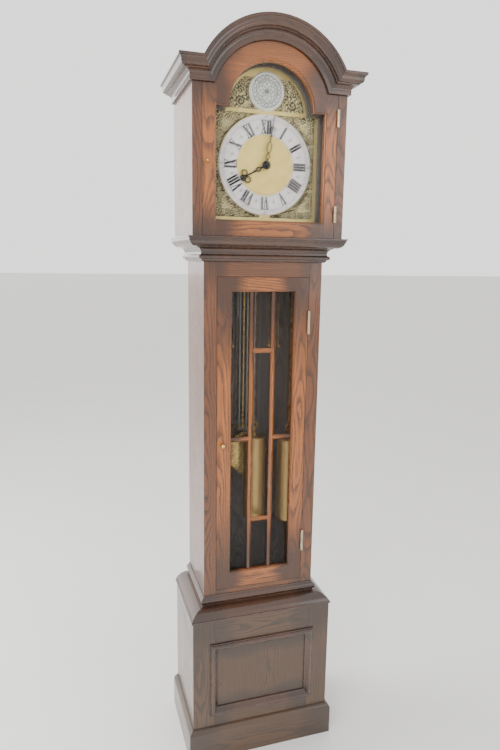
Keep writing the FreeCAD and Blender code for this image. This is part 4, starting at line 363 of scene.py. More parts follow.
silvering, bossSilver = speckled("silveredBrass"), speckled("silveredBoss")
wax, paleWax, bossWax = speckled("engravingWax"), speckled("fineEngraving"), speckled("bossEngraving")
leather = speckled("hammerLeather")

glassLooks = {
    "hoodGlass": {"tone": (0.95, 0.98, 0.97, 1), "alpha": 0.14},
    "trunkGlass": {"tone": (0.85, 0.86, 0.90, 1), "alpha": 0.2},
    "smearScale": (7.0, 7.0, 3.0), "smearStart": (0.5, 0.8), "smearRough": 0.04, "waveScale": 4.0,
    "waveDepth": 0.0004,
}


def makeGlass(name):
    look, shared = glassLooks[name], glassLooks
    made, tree, shader = newMaterial(name)
    place = objectPlace(tree)
    film = cloud(tree, stretched(tree, place, *shared["smearScale"]), 1.0, 4.0, 0.6)
    smear = spread(tree, film, *shared["smearStart"])
    wave = cloud(tree, place, shared["waveScale"], 1.0)
    connect(tree, shader, Base_Color=look["tone"], Metallic=0.0, Transmission_Weight=1.0, IOR=1.45,
            Roughness=spread(tree, smear, 0.0, 1.0, 0.0, shared["smearRough"]),
            Alpha=spread(tree, smear, 0.0, 1.0, look["alpha"], look["alpha"] + 0.04),
            Normal=bump(tree, wave, shared["waveDepth"], 0.1))
    return made


hoodGlass, trunkGlass = makeGlass("hoodGlass"), makeGlass("trunkGlass")
print("materials made")

# Pieces made from the CAD nodes. A node's mesh lists its faces solid by solid, so each board, screw or pin
# is cleaned and rounded by itself.


def finishPiece(name, bm, materials, body, slotName, replaced=(), sharpAngle=32, turn=True):
    if turn:
        bmesh.ops.recalc_face_normals(bm, faces=bm.faces)
    for face in bm.faces:
        face.smooth = True
    for edge in bm.edges:
        edge.smooth = edge.calc_face_angle(0) < math.radians(sharpAngle)
    mesh = bpy.data.meshes.new(name)
    bm.to_mesh(mesh)
    bm.free()
    for item in materials:
        mesh.materials.append(item)
    piece = bpy.data.objects.new(name, mesh)
    bpy.context.collection.objects.link(piece)
    if body:
        piece.modifiers.new("evenNormals", "WEIGHTED_NORMAL").keep_sharp = True
        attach(piece, body)
    if replaced:
        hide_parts(*replaced)
    return piece


def solidsOf(bm):
    left, group = set(), []
    for face in bm.faces:
        group.append(face)
        spots = [tuple(round(part * 1e6) for part in vert.co) for vert in face.verts]
        for pair in zip(spots, spots[1:] + spots[:1]):
            if pair[::-1] in left:
                left.remove(pair[::-1])
            else:
                left.add(pair)
        if not left:  # no edge is open, so a solid has just closed
            yield group
            group = []


edgeLook = {"weld": 0.000002, "flatWithin": 0.4, "sharpFrom": 38, "shortest": 2.5}  # angles in degrees


def mergedCopy(node, flatten=True):
    bm = bmesh.new()
    bm.from_mesh(frame["nodes"][node].data)
    bm.faces.ensure_lookup_table()
    for solid in list(solidsOf(bm)):
        corners = list({vert for face in solid for vert in face.verts})
        bmesh.ops.remove_doubles(bm, verts=corners, dist=edgeLook["weld"])
    if flatten:
        flat = math.radians(edgeLook["flatWithin"])
        bmesh.ops.dissolve_limit(bm, angle_limit=flat, verts=bm.verts, edges=bm.edges)
    return bm


def islands(bm):
    left = set(bm.faces)
    ordered = list(bm.faces)
    found = []
    for first in ordered:
        if first not in left:
            continue
        left.remove(first)
        group, queue = [first], [first]
        while queue:
            for edge in queue.pop().edges:
                for face in edge.link_faces:
                    if face in left:
                        left.remove(face)
                        group.append(face)
                        queue.append(face)
        found.append(group)
    return found


def softenEdges(bm, width):
    shortest, sharp = edgeLook["shortest"] * width, math.radians(edgeLook["sharpFrom"])
    for island in islands(bm):
        edges = {edge for face in island for edge in face.edges}
        edges = [edge for edge in edges if len(edge.link_faces) == 2 and edge.calc_length() > shortest
                 and edge.calc_face_angle(0) > sharp]
        bmesh.ops.bevel(bm, geom=edges, offset=width, offset_type="OFFSET", affect="EDGES", segments=2,
                        profile=0.5, clamp_overlap=True, material=-1)


def sawBoards(bm, seed, chooser=None, polar=None, upright=False):
    lying = ("low", "high", "crossbars")
    grain = bm.loops.layers.float_vector.new("grain")
    board = bm.loops.layers.float_vector.new("board")
    count = 0
    for island in islands(bm):
        groups = {}
        for face in island:
            key = chooser(face.calc_center_median()) if chooser else "whole"
            groups.setdefault(key, []).append(face)
        for key in sorted(groups, key=str):
            count += 1
            number = seed + count * 1.37
            corners = [loop for face in groups[key] for loop in face.loops]
            low = Vector([min(loop.vert.co[i] for loop in corners) for i in range(3)])
            high = Vector([max(loop.vert.co[i] for loop in corners) for i in range(3)])
            middle, reach = (low + high) / 2, (high - low) / 2
            along, across, depth = sorted(range(3), key=lambda i: -reach[i])
            if upright or key in lying:
                along, across, depth = (2, 0, 1) if upright else (0, 2, 1)
            for loop in corners:
                co = loop.vert.co
                if polar:
                    angle = math.atan2(co.x, co.z - polar)
                    far = math.hypot(co.x, co.z - polar) - woodLook["archMiddle"]
                    loop[grain] = (angle * woodLook["archMiddle"], far, co.y)
                    loop[board] = (angle / woodLook["archHalfAngle"], 0.0, number)
                else:
                    near = co - middle
                    loop[grain] = (near[along], near[across], near[depth])
                    loop[board] = (near[along] / max(reach[along], 0.001),
                                   near[across] / max(reach[across], 0.001), number)


def cutAt(bm, places, axis):
    where, normal = Vector((0, 0, 0)), Vector((0, 0, 0))
    normal[axis] = 1
    for place in places:
        where[axis] = place
        bmesh.ops.bisect_plane(bm, geom=bm.verts[:] + bm.edges[:] + bm.faces[:], plane_co=where,
                               plane_no=normal)


woodLook = {
    "edge": 0.0007, "stileX": 0.1475, "trunkStileX": 0.0918, "barX": (0.02575, 0.03825), "near": 0.001,
    "hoodDoorMiddle": 1.75, "trunkDoorMiddle": 1.0, "trunkRails": (0.5785, 1.4125), "archCentre": 1.8816,
    "archMiddle": 0.19, "archHalfAngle": 1.15, "backJoints": (-0.062, 0.058),
}


def dressWood(node, finish="stainedOak", chooser=None, cuts=(), upright=False, polar=None):
    bm = mergedCopy(node)
    cutAt(bm, cuts, 0)
    softenEdges(bm, woodLook["edge"])
    seed = 1.0 + len(node) * 0.31 + ord(node[0]) * 0.17 + ord(node[-2]) * 0.07
    sawBoards(bm, seed, chooser, polar, upright)
    return finishPiece(node + "_wood", bm, [oaks[finish]], bodyOf[node], slotOf[node], [node], turn=False)


def hoodDoorParts(co):
    if abs(co.x) > woodLook["stileX"] - woodLook["near"]:
        return "left" if co.x < 0 else "right"
    return "low" if co.z < woodLook["hoodDoorMiddle"] else "high"


def trunkDoorParts(co):
    near = woodLook["near"]
    if abs(co.x) > woodLook["trunkStileX"] - near:
        return "left" if co.x < 0 else "right"
    low, high = woodLook["trunkRails"]
    if co.z < low or co.z > high:
        return "low" if co.z < woodLook["trunkDoorMiddle"] else "high"
    inner, outer = woodLook["barX"]
    upright = inner - near < abs(co.x) < outer + near
    return ("barLeft" if co.x < 0 else "barRight") if upright else "crossbars"


def backParts(co):
    return sum(co.x > joint for joint in woodLook["backJoints"])


finishOf = {
    # the base pieces take the darker oak that paints the lower case's shade
    "plinth": "shadedBaseOak", "base_front_frame": "shadedBaseOak", "base_panel_moulding": "mouldingOak",
    "base_sides": "shadedBaseOak", "base_moulding": "mouldingOak", "trunk_sides": "stileOak",
    "trunk_front_frame": "stileOak", "waist_moulding": "mouldingOak", "hood_sides": "stileOak",
    "hood_front_frame": "stileOak", "cornice": "mouldingOak", "hood_roof": "plainOak",
}
for node, finish in finishOf.items():
    dressWood(node, finish)
dressWood("base_panel", "shadedBaseOak", upright=True)
dressWood("arch_moulding", "mouldingOak", polar=woodLook["archCentre"])
stileLines = (-woodLook["stileX"], woodLook["stileX"])
dressWood("hood_door_frame", chooser=hoodDoorParts, cuts=stileLines)
barLines = [side * x for side in (-1, 1) for x in (woodLook["trunkStileX"], *woodLook["barX"])]
dressWood("trunk_door_frame", chooser=trunkDoorParts, cuts=barLines)
dressWood("backboard", "plainOak", chooser=backParts, cuts=woodLook["backJoints"])
for node in ("base_bottom_board", "seatboard", "dial_mask"):
    dressWood(node, "plainOak")
print("case and hood dressed in oak")

metalEdges = {"hinge": 0.0002, "plate": 0.0003, "wheel": 0.0001}
handSwell = {"minute_hand": 0.0013, "hour_hand": 0.0007}
parting = {"gridZ": (0.97, 1.5), "gridX": 0.012, "hammerY": 0.1155, "blockZ": 1.6999}  # where materials meet


def dressMetal(node, materials, edge=0.0, pick=None, sharpAngle=32, swell=0.0):
    bm = mergedCopy(node, flatten=not swell)
    if swell:
        bm.normal_update()
        for vert, aside in [(vert, Vector((vert.normal.x, 0, vert.normal.z))) for vert in bm.verts]:
            vert.co += aside.normalized() * (swell if aside.length > 0.2 else 0.0)
    if edge:
        softenEdges(bm, edge)
    if pick:
        for face in bm.faces:
            face.material_index = pick(face.calc_center_median())
    name = node + "_finished"
    return finishPiece(name, bm, materials, bodyOf[node], slotOf[node], [node], sharpAngle, turn=False)


def inGrid(co):
    low, high = parting["gridZ"]
    return int(low < co.z < high and round(co.x / parting["gridX"]) in (-1, 1))


def atRod(co):
    return int(co.y > parting["hammerY"])


def inBlock(co):
    return int(co.z > parting["blockZ"])


for node in ("trunk_hinge_frame_leaves", "trunk_hinge_door_leaves", "hood_hinge_frame_leaves",
             "hood_hinge_door_leaves"):
    dressMetal(node, [metals["oldBrass"]], metalEdges["hinge"])
for node in ("hood_door_catch", "trunk_door_catch", "movement_frame", "going_chain_ring", "strike_chain_ring",
             "chime_chain_ring"):
    dressMetal(node, [brass], metalEdges["hinge"])
for node in ("going_weight", "strike_weight", "chime_weight"):
    dressMetal(node, [metals["weightBrass"]], metalEdges["plate"])
for node in ("centre_arbor", "hour_wheel", "minute_wheel", "going_great_wheel", "third_wheel", "escape_wheel",
             "going_chain_wheel", "strike_great_wheel", "chime_great_wheel"):
    dressMetal(node, [brass])
dressMetal("pallet_anchor", [steel], metalEdges["wheel"])
for node in ("strike_hammer", "chime_hammers"):
    dressMetal(node, [steel, leather], pick=atRod)
dressMetal("dial_plate", [metals["dialBrass"]], metalEdges["plate"])
dressMetal("chapter_ring", [silvering], metalEdges["hinge"])
dressMetal("dial_boss", [bossSilver])
for node, swell in handSwell.items():
    dressMetal(node, [metals["bluedSteel"]], swell=swell)
dressMetal("pendulum_rod", [steel, brass], metalEdges["plate"], inGrid)
dressMetal("hood_door_glass", [hoodGlass])
dressMetal("trunk_door_glass", [trunkGlass])
print("metal and glass dressed")


def dressChimeRods():
    bm = mergedCopy("chime_rods")
    sawBoards(bm, 4.2)
    for face in bm.faces:
        face.material_index = inBlock(face.calc_center_median())
    materials = [steel, oaks["plainOak"]]
    finishPiece("chime_rods_finished", bm, materials, "case", "steel", ["chime_rods"], turn=False)


dressChimeRods()

# Turned and repeated pieces.


def stampAll(bm, pattern, matrices, batch=40):
    for first in range(0, len(matrices), batch):
        part = bmesh.new()
        for matrix in matrices[first:first + batch]:
            known = len(part.verts)
            part.from_mesh(pattern)
            part.verts.ensure_lookup_table()
            for vert in part.verts[known:]:
                vert.co = matrix @ vert.co
        store = bpy.data.meshes.new("stamped")
        part.to_mesh(store)
        part.free()
        bm.from_mesh(store)
        bpy.data.meshes.remove(store)


def lathe(bm, profile, matrix, steps=64):
    verts = [bm.verts.new((radius, 0, height)) for radius, height in profile]
    edges = [bm.edges.new(pair) for pair in zip(verts, verts[1:])]
    before = set(bm.verts) - set(verts)
    bmesh.ops.spin(bm, geom=verts + edges, cent=(0, 0, 0), axis=(0, 0, 1), angle=math.tau, steps=steps,
                   use_merge=True)
    made = [v for v in bm.verts if v not in before]
    bmesh.ops.remove_doubles(bm, verts=made, dist=0.0000005)
    made = [v for v in bm.verts if v not in before]
    bmesh.ops.transform(bm, matrix=matrix, verts=made)


def facing(x, y, z):
    return Matrix(((1, 0, 0, x), (0, 0, -1, y), (0, 1, 0, z), (0, 0, 0, 1)))


bobLook = {
    "centreZ": 0.9, "plane": 0.08675, "steps": 96,
    "face": [(0.0, 0.0160), (0.010, 0.0160), (0.0125, 0.0150), (0.0135, 0.0150), (0.020, 0.0148),
             (0.034, 0.0126), (0.048, 0.0088), (0.058, 0.0052), (0.0625, 0.0036), (0.0640, 0.0046),
             (0.0665, 0.0046), (0.068, 0.0028)],
}


def makeBob():
    bm = bmesh.new()
    back = [(far, -height) for far, height in reversed(bobLook["face"])]
    lathe(bm, bobLook["face"] + back, facing(0, bobLook["plane"], bobLook["centreZ"]), bobLook["steps"])
    finishPiece("pendulum_bob_turned", bm, [brass], "pendulum", "brass", ["pendulum_bob"])


makeBob()

screwLook = {
    "headRadius": 0.0042, "headHeight": 0.0022, "slot": 0.0009, "frontPlane": -0.034, "backPlane": 0.040,
    "pillarX": 0.12, "pillarHeights": (1.659, 1.834), "seatTop": 1.647,
    "seatPlaces": ((-0.09, -0.04), (0.09, -0.04), (-0.09, 0.052), (0.09, 0.052)),
}


def screwHead(bm, matrix):
    radius, height = screwLook["headRadius"], screwLook["headHeight"]
    lathe(bm, [(0, 0), (radius, 0), (radius, height * 0.6), (radius * 0.8, height), (0, height)], matrix, 20)
    slot = bmesh.ops.create_cube(bm, size=1)["verts"]
    scale = Matrix.Diagonal((radius * 1.9, screwLook["slot"], 0.0002, 1))
    bmesh.ops.transform(bm, matrix=matrix @ Matrix.Translation((0, 0, height)) @ scale, verts=slot)
    for face in {face for vert in slot for face in vert.link_faces}:
        face.material_index = 1


def makeScrews():
    bm = bmesh.new()
    flip = Matrix.Rotation(math.pi, 4, "Z")
    for x in (-screwLook["pillarX"], screwLook["pillarX"]):
        for z in screwLook["pillarHeights"]:
            screwHead(bm, facing(x, screwLook["frontPlane"], z))
            screwHead(bm, flip @ facing(-x, -screwLook["backPlane"], z))
    finishPiece("pillar_screws", bm, [steel, metals["bluedSteel"]], "case", "brass")
    bm = bmesh.new()
    for x, y in screwLook["seatPlaces"]:
        screwHead(bm, Matrix.Translation((x, y, screwLook["seatTop"])))
    finishPiece("seatboard_screws", bm, [brass, metals["oldBrass"]], "case", "brass")


makeScrews()
print("bob and screws turned")

# Chains of oval links: a fixed turn over each wheel and a straight run of links down each side of it.

chainLook = {
    "plane": 0.002, "wheelZ": 1.71488, "wheelRadius": 0.0205, "pitch": 0.0054, "linkLength": 0.0076,
    "linkWidth": 0.0046, "wire": 0.00058, "ringTop": 1.2599,
    "trains": {"going": {"wheelX": 0.0205, "side": -1, "hookTop": 1.0227},
               "strike": {"wheelX": -0.0905, "side": -1, "hookTop": 1.0127},
               "chime": {"wheelX": 0.0905, "side": 1, "hookTop": 1.0067}},
}


def linkMesh():
    bm = bmesh.new()
    radius = chainLook["linkWidth"] / 2 - chainLook["wire"]
    section = bmesh.ops.create_circle(bm, cap_ends=False, segments=4, radius=chainLook["wire"])["verts"]
    bmesh.ops.transform(bm, matrix=Matrix.Translation((radius, 0, 0)) @ Matrix.Rotation(math.pi / 2, 4, "X"),
                        verts=section)
    bmesh.ops.spin(bm, geom=section + bm.edges[:], cent=(0, 0, 0), axis=(0, 0, 1), angle=math.tau, steps=8,
                   use_merge=True)
    stretch = (chainLook["linkLength"] - chainLook["linkWidth"]) / 2
    for vert in bm.verts:
        vert.co.y += math.copysign(stretch, vert.co.y) if abs(vert.co.y) > 0.0001 else 0.0
    mesh = bpy.data.meshes.new("chain_link_pattern")
    bm.to_mesh(mesh)
    bm.free()
    return mesh


def layLinks(pattern, places):
    upright = Matrix.Rotation(math.pi / 2, 4, "X")
    bm = bmesh.new()
    stampAll(bm, pattern, [Matrix.Translation(spot) @ Matrix.Rotation(tilt, 4, "Y")
                           @ Matrix.Rotation(math.pi / 2 * (index % 2), 4, "Z") @ upright
                           for index, (spot, tilt) in enumerate(places)])
    return bm


def makeChains():
    pattern = linkMesh()
    plane, top, radius, pitch = (chainLook[key] for key in ("plane", "wheelZ", "wheelRadius", "pitch"))
    for name, train in chainLook["trains"].items():
        x = train["wheelX"]
        count = round(math.pi * radius / pitch)
        turns = [math.pi * (index + 0.5) / count for index in range(count)]
        arc = [(Vector((x + radius * math.cos(a), plane, top + radius * math.sin(a))), -a) for a in turns]
        bm = layLinks(pattern, arc)
        finishPiece(name + "_chain_over_wheel", bm, [brass], "case", "brass", [name + "_chain"])
        for run, side, low, rider in (("weight_run", train["side"], train["hookTop"], "weight_" + name),
                                      ("free_run", -train["side"], chainLook["ringTop"], "ring_" + name)):
            count = round((top - low) / pitch)
            column = Vector((x + side * radius, plane, 0))
            spots = [(column + Vector((0, 0, top - (top - low) * (index + 0.5) / count)), 0.0)
                     for index in range(count)]
            bm = layLinks(pattern, spots)
            piece = finishPiece("%s_chain_%s" % (name, run), bm, [brass], None, "brass")
            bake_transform(piece)
    bpy.data.meshes.remove(pattern)


makeChains()
print("chains linked")

# Dial.

dialLook = {
    "centreZ": 1.7502, "ringFace": -0.0595, "centreFace": -0.058, "relief": 0.0002, "numeralLow": 0.0815,
    "numeralHigh": 0.1140, "thick": 0.0057, "thin": 0.0020, "serif": 0.0018, "serifRelief": 0.00022,
    "iPitch": 0.0070, "vWidth": 0.0168, "xWidth": 0.0164, "inset": 0.0006, "vFoot": 0.0005, "vLean": 0.0008,
    "xLean": 0.001, "fineWidth": 0.0006, "minuteLow": 0.1165, "minuteHigh": 0.1205,
}


def onDial(angle, face, centreZ=None):
    turn = math.radians(angle)
    centreZ = dialLook["centreZ"] if centreZ is None else centreZ
    return Matrix(((math.cos(turn), math.sin(turn), 0, 0), (0, 0, -1, face),
                   (-math.sin(turn), math.cos(turn), 0, centreZ), (0, 0, 0, 1)))


def stroke(bm, matrix, start, startWidth, end, endWidth, high=None):
    high = dialLook["relief"] if high is None else high
    for vert in bmesh.ops.create_cube(bm, size=1)["verts"]:
        x, y, width = (*end, endWidth) if vert.co.y > 0 else (*start, startWidth)
        x += math.copysign(width / 2, vert.co.x)
        vert.co = matrix @ Vector((x, y, high if vert.co.z > 0 else 0.0))


numerals = ["XII", "I", "II", "III", "IIII", "V", "VI", "VII", "VIII", "IX", "X", "XI"]


def drawNumeral(bm, text, matrix):
    low, high = dialLook["numeralLow"], dialLook["numeralHigh"]
    thick, thin, serif, inset = (dialLook[key] for key in ("thick", "thin", "serif", "inset"))
    foot, lean, crossing = dialLook["vFoot"], dialLook["vLean"], dialLook["xLean"]
    widths = {"I": dialLook["iPitch"], "V": dialLook["vWidth"], "X": dialLook["xWidth"]}
    total = sum(widths[letter] for letter in text)
    start = -total / 2
    for letter in text:
        width = widths[letter]
        middle = start + width / 2
        left, right = start + thick / 2 + inset, start + width - thin - inset
        if letter == "I":
            stroke(bm, matrix, (middle, low), thick, (middle, high), thick)
        elif letter == "V":
            stroke(bm, matrix, (middle + foot, low), thick * 0.8, (left + lean, high), thick)
            stroke(bm, matrix, (middle + foot, low), thin, (right, high), thin)
        else:
            stroke(bm, matrix, (right - crossing, low), thick, (left, high), thick)
            stroke(bm, matrix, (left - crossing, low), thin, (right, high), thin)
        start += width
    half = total / 2
    for place in (low, high):
        if not ("V" in text and place == low):
            stroke(bm, matrix, (0, place - serif / 2), 2 * half, (0, place + serif / 2), 2 * half,
                   dialLook["serifRelief"])


def hoop(bm, matrix, radius, width, steps=144):
    high = dialLook["relief"]
    inner, outer = radius - width / 2, radius + width / 2
    lathe(bm, [(inner, 0), (outer, 0), (outer, high), (inner, high), (inner, 0)], matrix, steps)


def makeNumerals():
    bm = bmesh.new()
    for index, text in enumerate(numerals):
        drawNumeral(bm, text, onDial(30 * index, dialLook["ringFace"]))
    finishPiece("hour_numerals", bm, [wax], "case", "silvered_brass")


trackLook = {
    "hoops": (0.0802, 0.1165, 0.1205, 0.1277), "starMiddle": 0.1240, "starReach": 0.0022,
    "starWidth": 0.0026, "starTip": 0.0002, "quarterLow": 0.1190, "quarterHigh": 0.1285,
    "quarterBar": 0.0105, "innerLow": 0.0788, "innerHigh": 0.0802,
}


def makeMinuteTrack():
    bm = bmesh.new()
    look, fine, face = trackLook, dialLook["fineWidth"], dialLook["ringFace"]
    for radius in look["hoops"]:
        hoop(bm, onDial(0, face), radius, fine)
    for minute in range(60):
        matrix = onDial(6 * minute, face)
        stroke(bm, matrix, (0, dialLook["minuteLow"]), fine, (0, dialLook["minuteHigh"]), fine)
        middle = look["starMiddle"]
        if minute % 5 == 0:
            for side in (-1, 1):
                tip = middle + side * look["starReach"]
                stroke(bm, matrix, (0, tip), look["starTip"], (0, middle), look["starWidth"])
        if minute % 15 == 0:
            stroke(bm, matrix, (0, look["quarterLow"]), 2 * fine, (0, look["quarterHigh"]), 2 * fine)
            stroke(bm, matrix, (0, middle - fine), look["quarterBar"], (0, middle + fine), look["quarterBar"])
    for quarter in range(48):
        stroke(bm, onDial(7.5 * quarter, face), (0, look["innerLow"]), fine, (0, look["innerHigh"]), fine)
    finishPiece("minute_track", bm, [paleWax], "case", "silvered_brass")


halfHourLook = {
    "base": 0.0915, "body": 0.0019, "height": 0.0125, "foot": 0.0004, "tip": 0.0002, "bar": 0.0056,
    "barRise": (0.0025, 0.0032),
    "leaves": [((0.0004, 0.0030), 0.0005, (0.0036, 0.0070), 0.0015),
               ((0.0036, 0.0070), 0.0015, (0.0048, 0.0054), 0.0004),
               ((0.0002, 0.0022), 0.0004, (0.0028, -0.0012), 0.0011)],
}


def makeHalfHourMarks():
    bm = bmesh.new()
    look = halfHourLook
    base, body, height, bar = (look[key] for key in ("base", "body", "height", "bar"))
    waist = base + height / 2
    low, high = look["barRise"]
    for index in range(12):
        matrix = onDial(30 * index + 15, dialLook["ringFace"])
        stroke(bm, matrix, (0, base), look["foot"], (0, waist), body)
        stroke(bm, matrix, (0, waist), body, (0, base + height), look["tip"])
        for side in (-1, 1):
            for (x, rise), width, (endX, endRise), endWidth in look["leaves"]:
                stroke(bm, matrix, (side * x, base + rise), width, (side * endX, base + endRise), endWidth)
        stroke(bm, matrix, (0, base + low), bar, (0, base + high), bar)
    finishPiece("half_hour_marks", bm, [paleWax], "case", "silvered_brass")


centreLook = {
    "steps": 128,
    "profile": [(0.0095, 0.0001), (0.0095, 0.0007), (0.0105, 0.0009), (0.0120, 0.0005), (0.0735, 0.0005),
                (0.0742, 0.0009), (0.0750, 0.0005), (0.0760, 0.0009), (0.0768, 0.0005), (0.0785, 0.0005),
                (0.0785, 0.0001), (0.0095, 0.0001)],
}


def makeDialCentre():
    bm = bmesh.new()
    lathe(bm, centreLook["profile"], onDial(0, dialLook["centreFace"]), centreLook["steps"])
    finishPiece("dial_centre", bm, [mattCentre], "case", "dial_brass")


# The boss carries a plain rosette of crossing circles.

bossLook = {
    "centreZ": 1.936, "field": -0.0598, "petals": 8, "petalRadius": 0.0130, "line": 0.0012,
    "rims": (0.0285, 0.0400), "beads": 20, "beadRadius": 0.0044, "beadPlace": 0.0343,
}


def makeBossRosette():
    bm = bmesh.new()
    flat = onDial(0, bossLook["field"], bossLook["centreZ"])
    for radius in bossLook["rims"]:
        hoop(bm, flat, radius, bossLook["line"], 72)
    for count, radius, place in ((bossLook["petals"], bossLook["petalRadius"], bossLook["petalRadius"]),
                                 (bossLook["beads"], bossLook["beadRadius"], bossLook["beadPlace"])):
        for index in range(count):
            turn = onDial(360 * index / count, bossLook["field"], bossLook["centreZ"])
            hoop(bm, turn @ Matrix.Translation((0, place, 0)), radius, bossLook["line"], 24)
    finishPiece("boss_rosette", bm, [bossWax], "case", "silvered_brass")


makeNumerals()
makeMinuteTrack()
makeHalfHourMarks()
makeDialCentre()
makeBossRosette()
print("dial marked out")

# Cast spandrels: a sunk ground with scrolls and leaves in relief. Places are in millimetres from the corner,
# along each of its edges, and each row holds a scroll's place and radius.

spandrelLook = {
    "face": -0.058, "ground": 0.0008, "relief": 0.0016, "thick": 0.0026, "turns": 1.35, "links": 13,
    "leaves": 9, "fillers": 620, "fillerLength": 0.0038, "fillerWidth": 0.0020, "clear": 0.0007,
    "corner": [(33, 12, 9.0), (54, 10, 7.4), (72, 7.8, 5.4), (87, 5.2, 3.2), (27, 30, 7.6), (43, 24, 5.2),
               (14, 14, 8.5)],
    "arch": [(72, 1907, 12.5), (94, 1901, 5.8), (53, 1897, 6.0), (72, 1934, 9.2), (88, 1922, 5.2),
             (64, 1953, 6.6), (56, 1964, 3.6), (30, 1893.5, 2.8)],
    "cornerX": 0.138, "cornerTop": 0.1293, "cornerLow": -0.136, "ringClear": 0.1325, "archCentreZ": 1.8816,
    "archRadius": 0.1045, "archLow": 1.8905, "archHigh": 1.9675, "bossClear": 0.0515, "middleClear": 0.014,
    "border": 0.0015, "blockDepth": 0.0025,
}


def leaf(leaves, x, z, angle, length, width, height):
    shape = Matrix.Rotation(angle, 4, "Z") @ Matrix.Diagonal((length, width, 2 * height, 1))
    leaves.append(facing(x, spandrelLook["face"] - spandrelLook["ground"], z) @ shape)


def leafMesh():
    bm = bmesh.new()
    bmesh.ops.create_uvsphere(bm, u_segments=8, v_segments=5, radius=0.5)
    mesh = bpy.data.meshes.new("leaf_pattern")
    bm.to_mesh(mesh)
    bm.free()
    return mesh


def inCasting(x, z):
    look = spandrelLook
    if abs(x) < look["middleClear"] or math.hypot(x, z - bossLook["centreZ"]) < look["bossClear"]:
        return False
    if z > look["archLow"]:
        return z < look["archHigh"] and math.hypot(x, z - look["archCentreZ"]) < look["archRadius"]
    rise = z - dialLook["centreZ"]
    low, high = look["cornerLow"] + look["border"], look["cornerTop"] - look["border"]
    inBox = abs(x) < look["cornerX"] - look["border"] and low < rise < high
    return inBox and math.hypot(x, rise) > look["ringClear"]


def scroll(leaves, x, z, radius, start, hand, taken):
    look = spandrelLook
    thick = min(look["thick"], radius * 0.36)
    for index in range(look["links"]):
        share = index / look["links"]
        angle = start + hand * math.tau * look["turns"] * share
        far = radius * (1 - 0.78 * share)
        length = math.tau * look["turns"] * far / look["links"] * 1.25
        spotX, spotZ = x + far * math.cos(angle), z + far * math.sin(angle)
        leaf(leaves, spotX, spotZ, angle + math.pi / 2, max(length, thick), thick * (1 - 0.35 * share),
             look["relief"])
    leaf(leaves, x, z, 0, thick * 1.3, thick * 1.3, look["relief"])
    taken.append((x, z, radius))
    for index in range(look["leaves"]):
        angle = start + math.tau * index / look["leaves"]
        far = radius * 1.32
        spotX, spotZ = x + far * math.cos(angle), z + far * math.sin(angle)
        if inCasting(spotX, spotZ):
            leaf(leaves, spotX, spotZ, angle + hand * 0.7, radius * 0.66, radius * 0.32, look["relief"] * 0.8)
            taken.append((spotX, spotZ, radius * 0.22))


def cornerScrolls(leaves, sideX, sideZ, taken):
    look = spandrelLook
    cornerZ = dialLook["centreZ"] + (look["cornerTop"] if sideZ > 0 else look["cornerLow"])
    for u, v, radius in look["corner"]:
        for first, second, hand in ((u, v, 1), (v, u, -1)):
            if first == second and hand < 0:
                continue
            x = sideX * (look["cornerX"] - first / 1000)
            z = cornerZ - sideZ * second / 1000
            scroll(leaves, x, z, radius / 1000, math.radians(70 * hand) + first, hand * sideX * sideZ, taken)


def fillGaps(leaves, box, taken):
    look = spandrelLook
    for _ in range(look["fillers"]):
        x = random.uniform(box[0], box[1])
        z = random.uniform(box[2], box[3])
        turn = random.uniform(0, math.pi)
        if not inCasting(x, z):
            continue
        if any(math.hypot(x - a, z - b) < r + look["clear"] for a, b, r in taken):
            continue
        leaf(leaves, x, z, turn, look["fillerLength"], look["fillerWidth"], look["relief"] * 0.7)
        taken.append((x, z, look["fillerWidth"] * 0.6))


def makeSpandrels():
    look = spandrelLook
    bm = mergedCopy("spandrels")
    for vert in bm.verts:
        vert.co.y = look["face"] + (vert.co.y - look["face"]) * look["ground"] / look["blockDepth"]
    for item in bm.faces:
        item.material_index = 1
    leaves = []
    centre = dialLook["centreZ"]
    for sideX in (-1, 1):
        edges = sorted((look["middleClear"] * sideX, look["cornerX"] * sideX))
        for sideZ in (-1, 1):
            taken = []
            cornerScrolls(leaves, sideX, sideZ, taken)
            heights = sorted((centre, centre + (look["cornerTop"] if sideZ > 0 else look["cornerLow"])))
            fillGaps(leaves, (*edges, *heights), taken)
        taken = []
        for index, (x, z, radius) in enumerate(look["arch"]):
            hand = sideX * (-1) ** index
            scroll(leaves, sideX * x / 1000, z / 1000, radius / 1000, index * 1.1, hand, taken)
        fillGaps(leaves, (*edges, look["archLow"], look["archHigh"]), taken)
    stampAll(bm, leafMesh(), leaves)
    # the flattened plate behind the scrolls takes the near-black ground, which is painted shade
    materials = [metals["castBrass"], spandrelShadeGround]
    finishPiece("spandrel_castings", bm, materials, "case", "dial_brass", ["spandrels"], 50)


makeSpandrels()
print("spandrels cast")

# Studio.

cameraLook = {
    "place": (-0.531177, -1.652961, 1.498752), "yaw": 17.288697, "pitch": -10.904247, "roll": 0.818308,
    "focal": 594.864174, "imageHeight": 750.0, "sensor": 36.0,
}


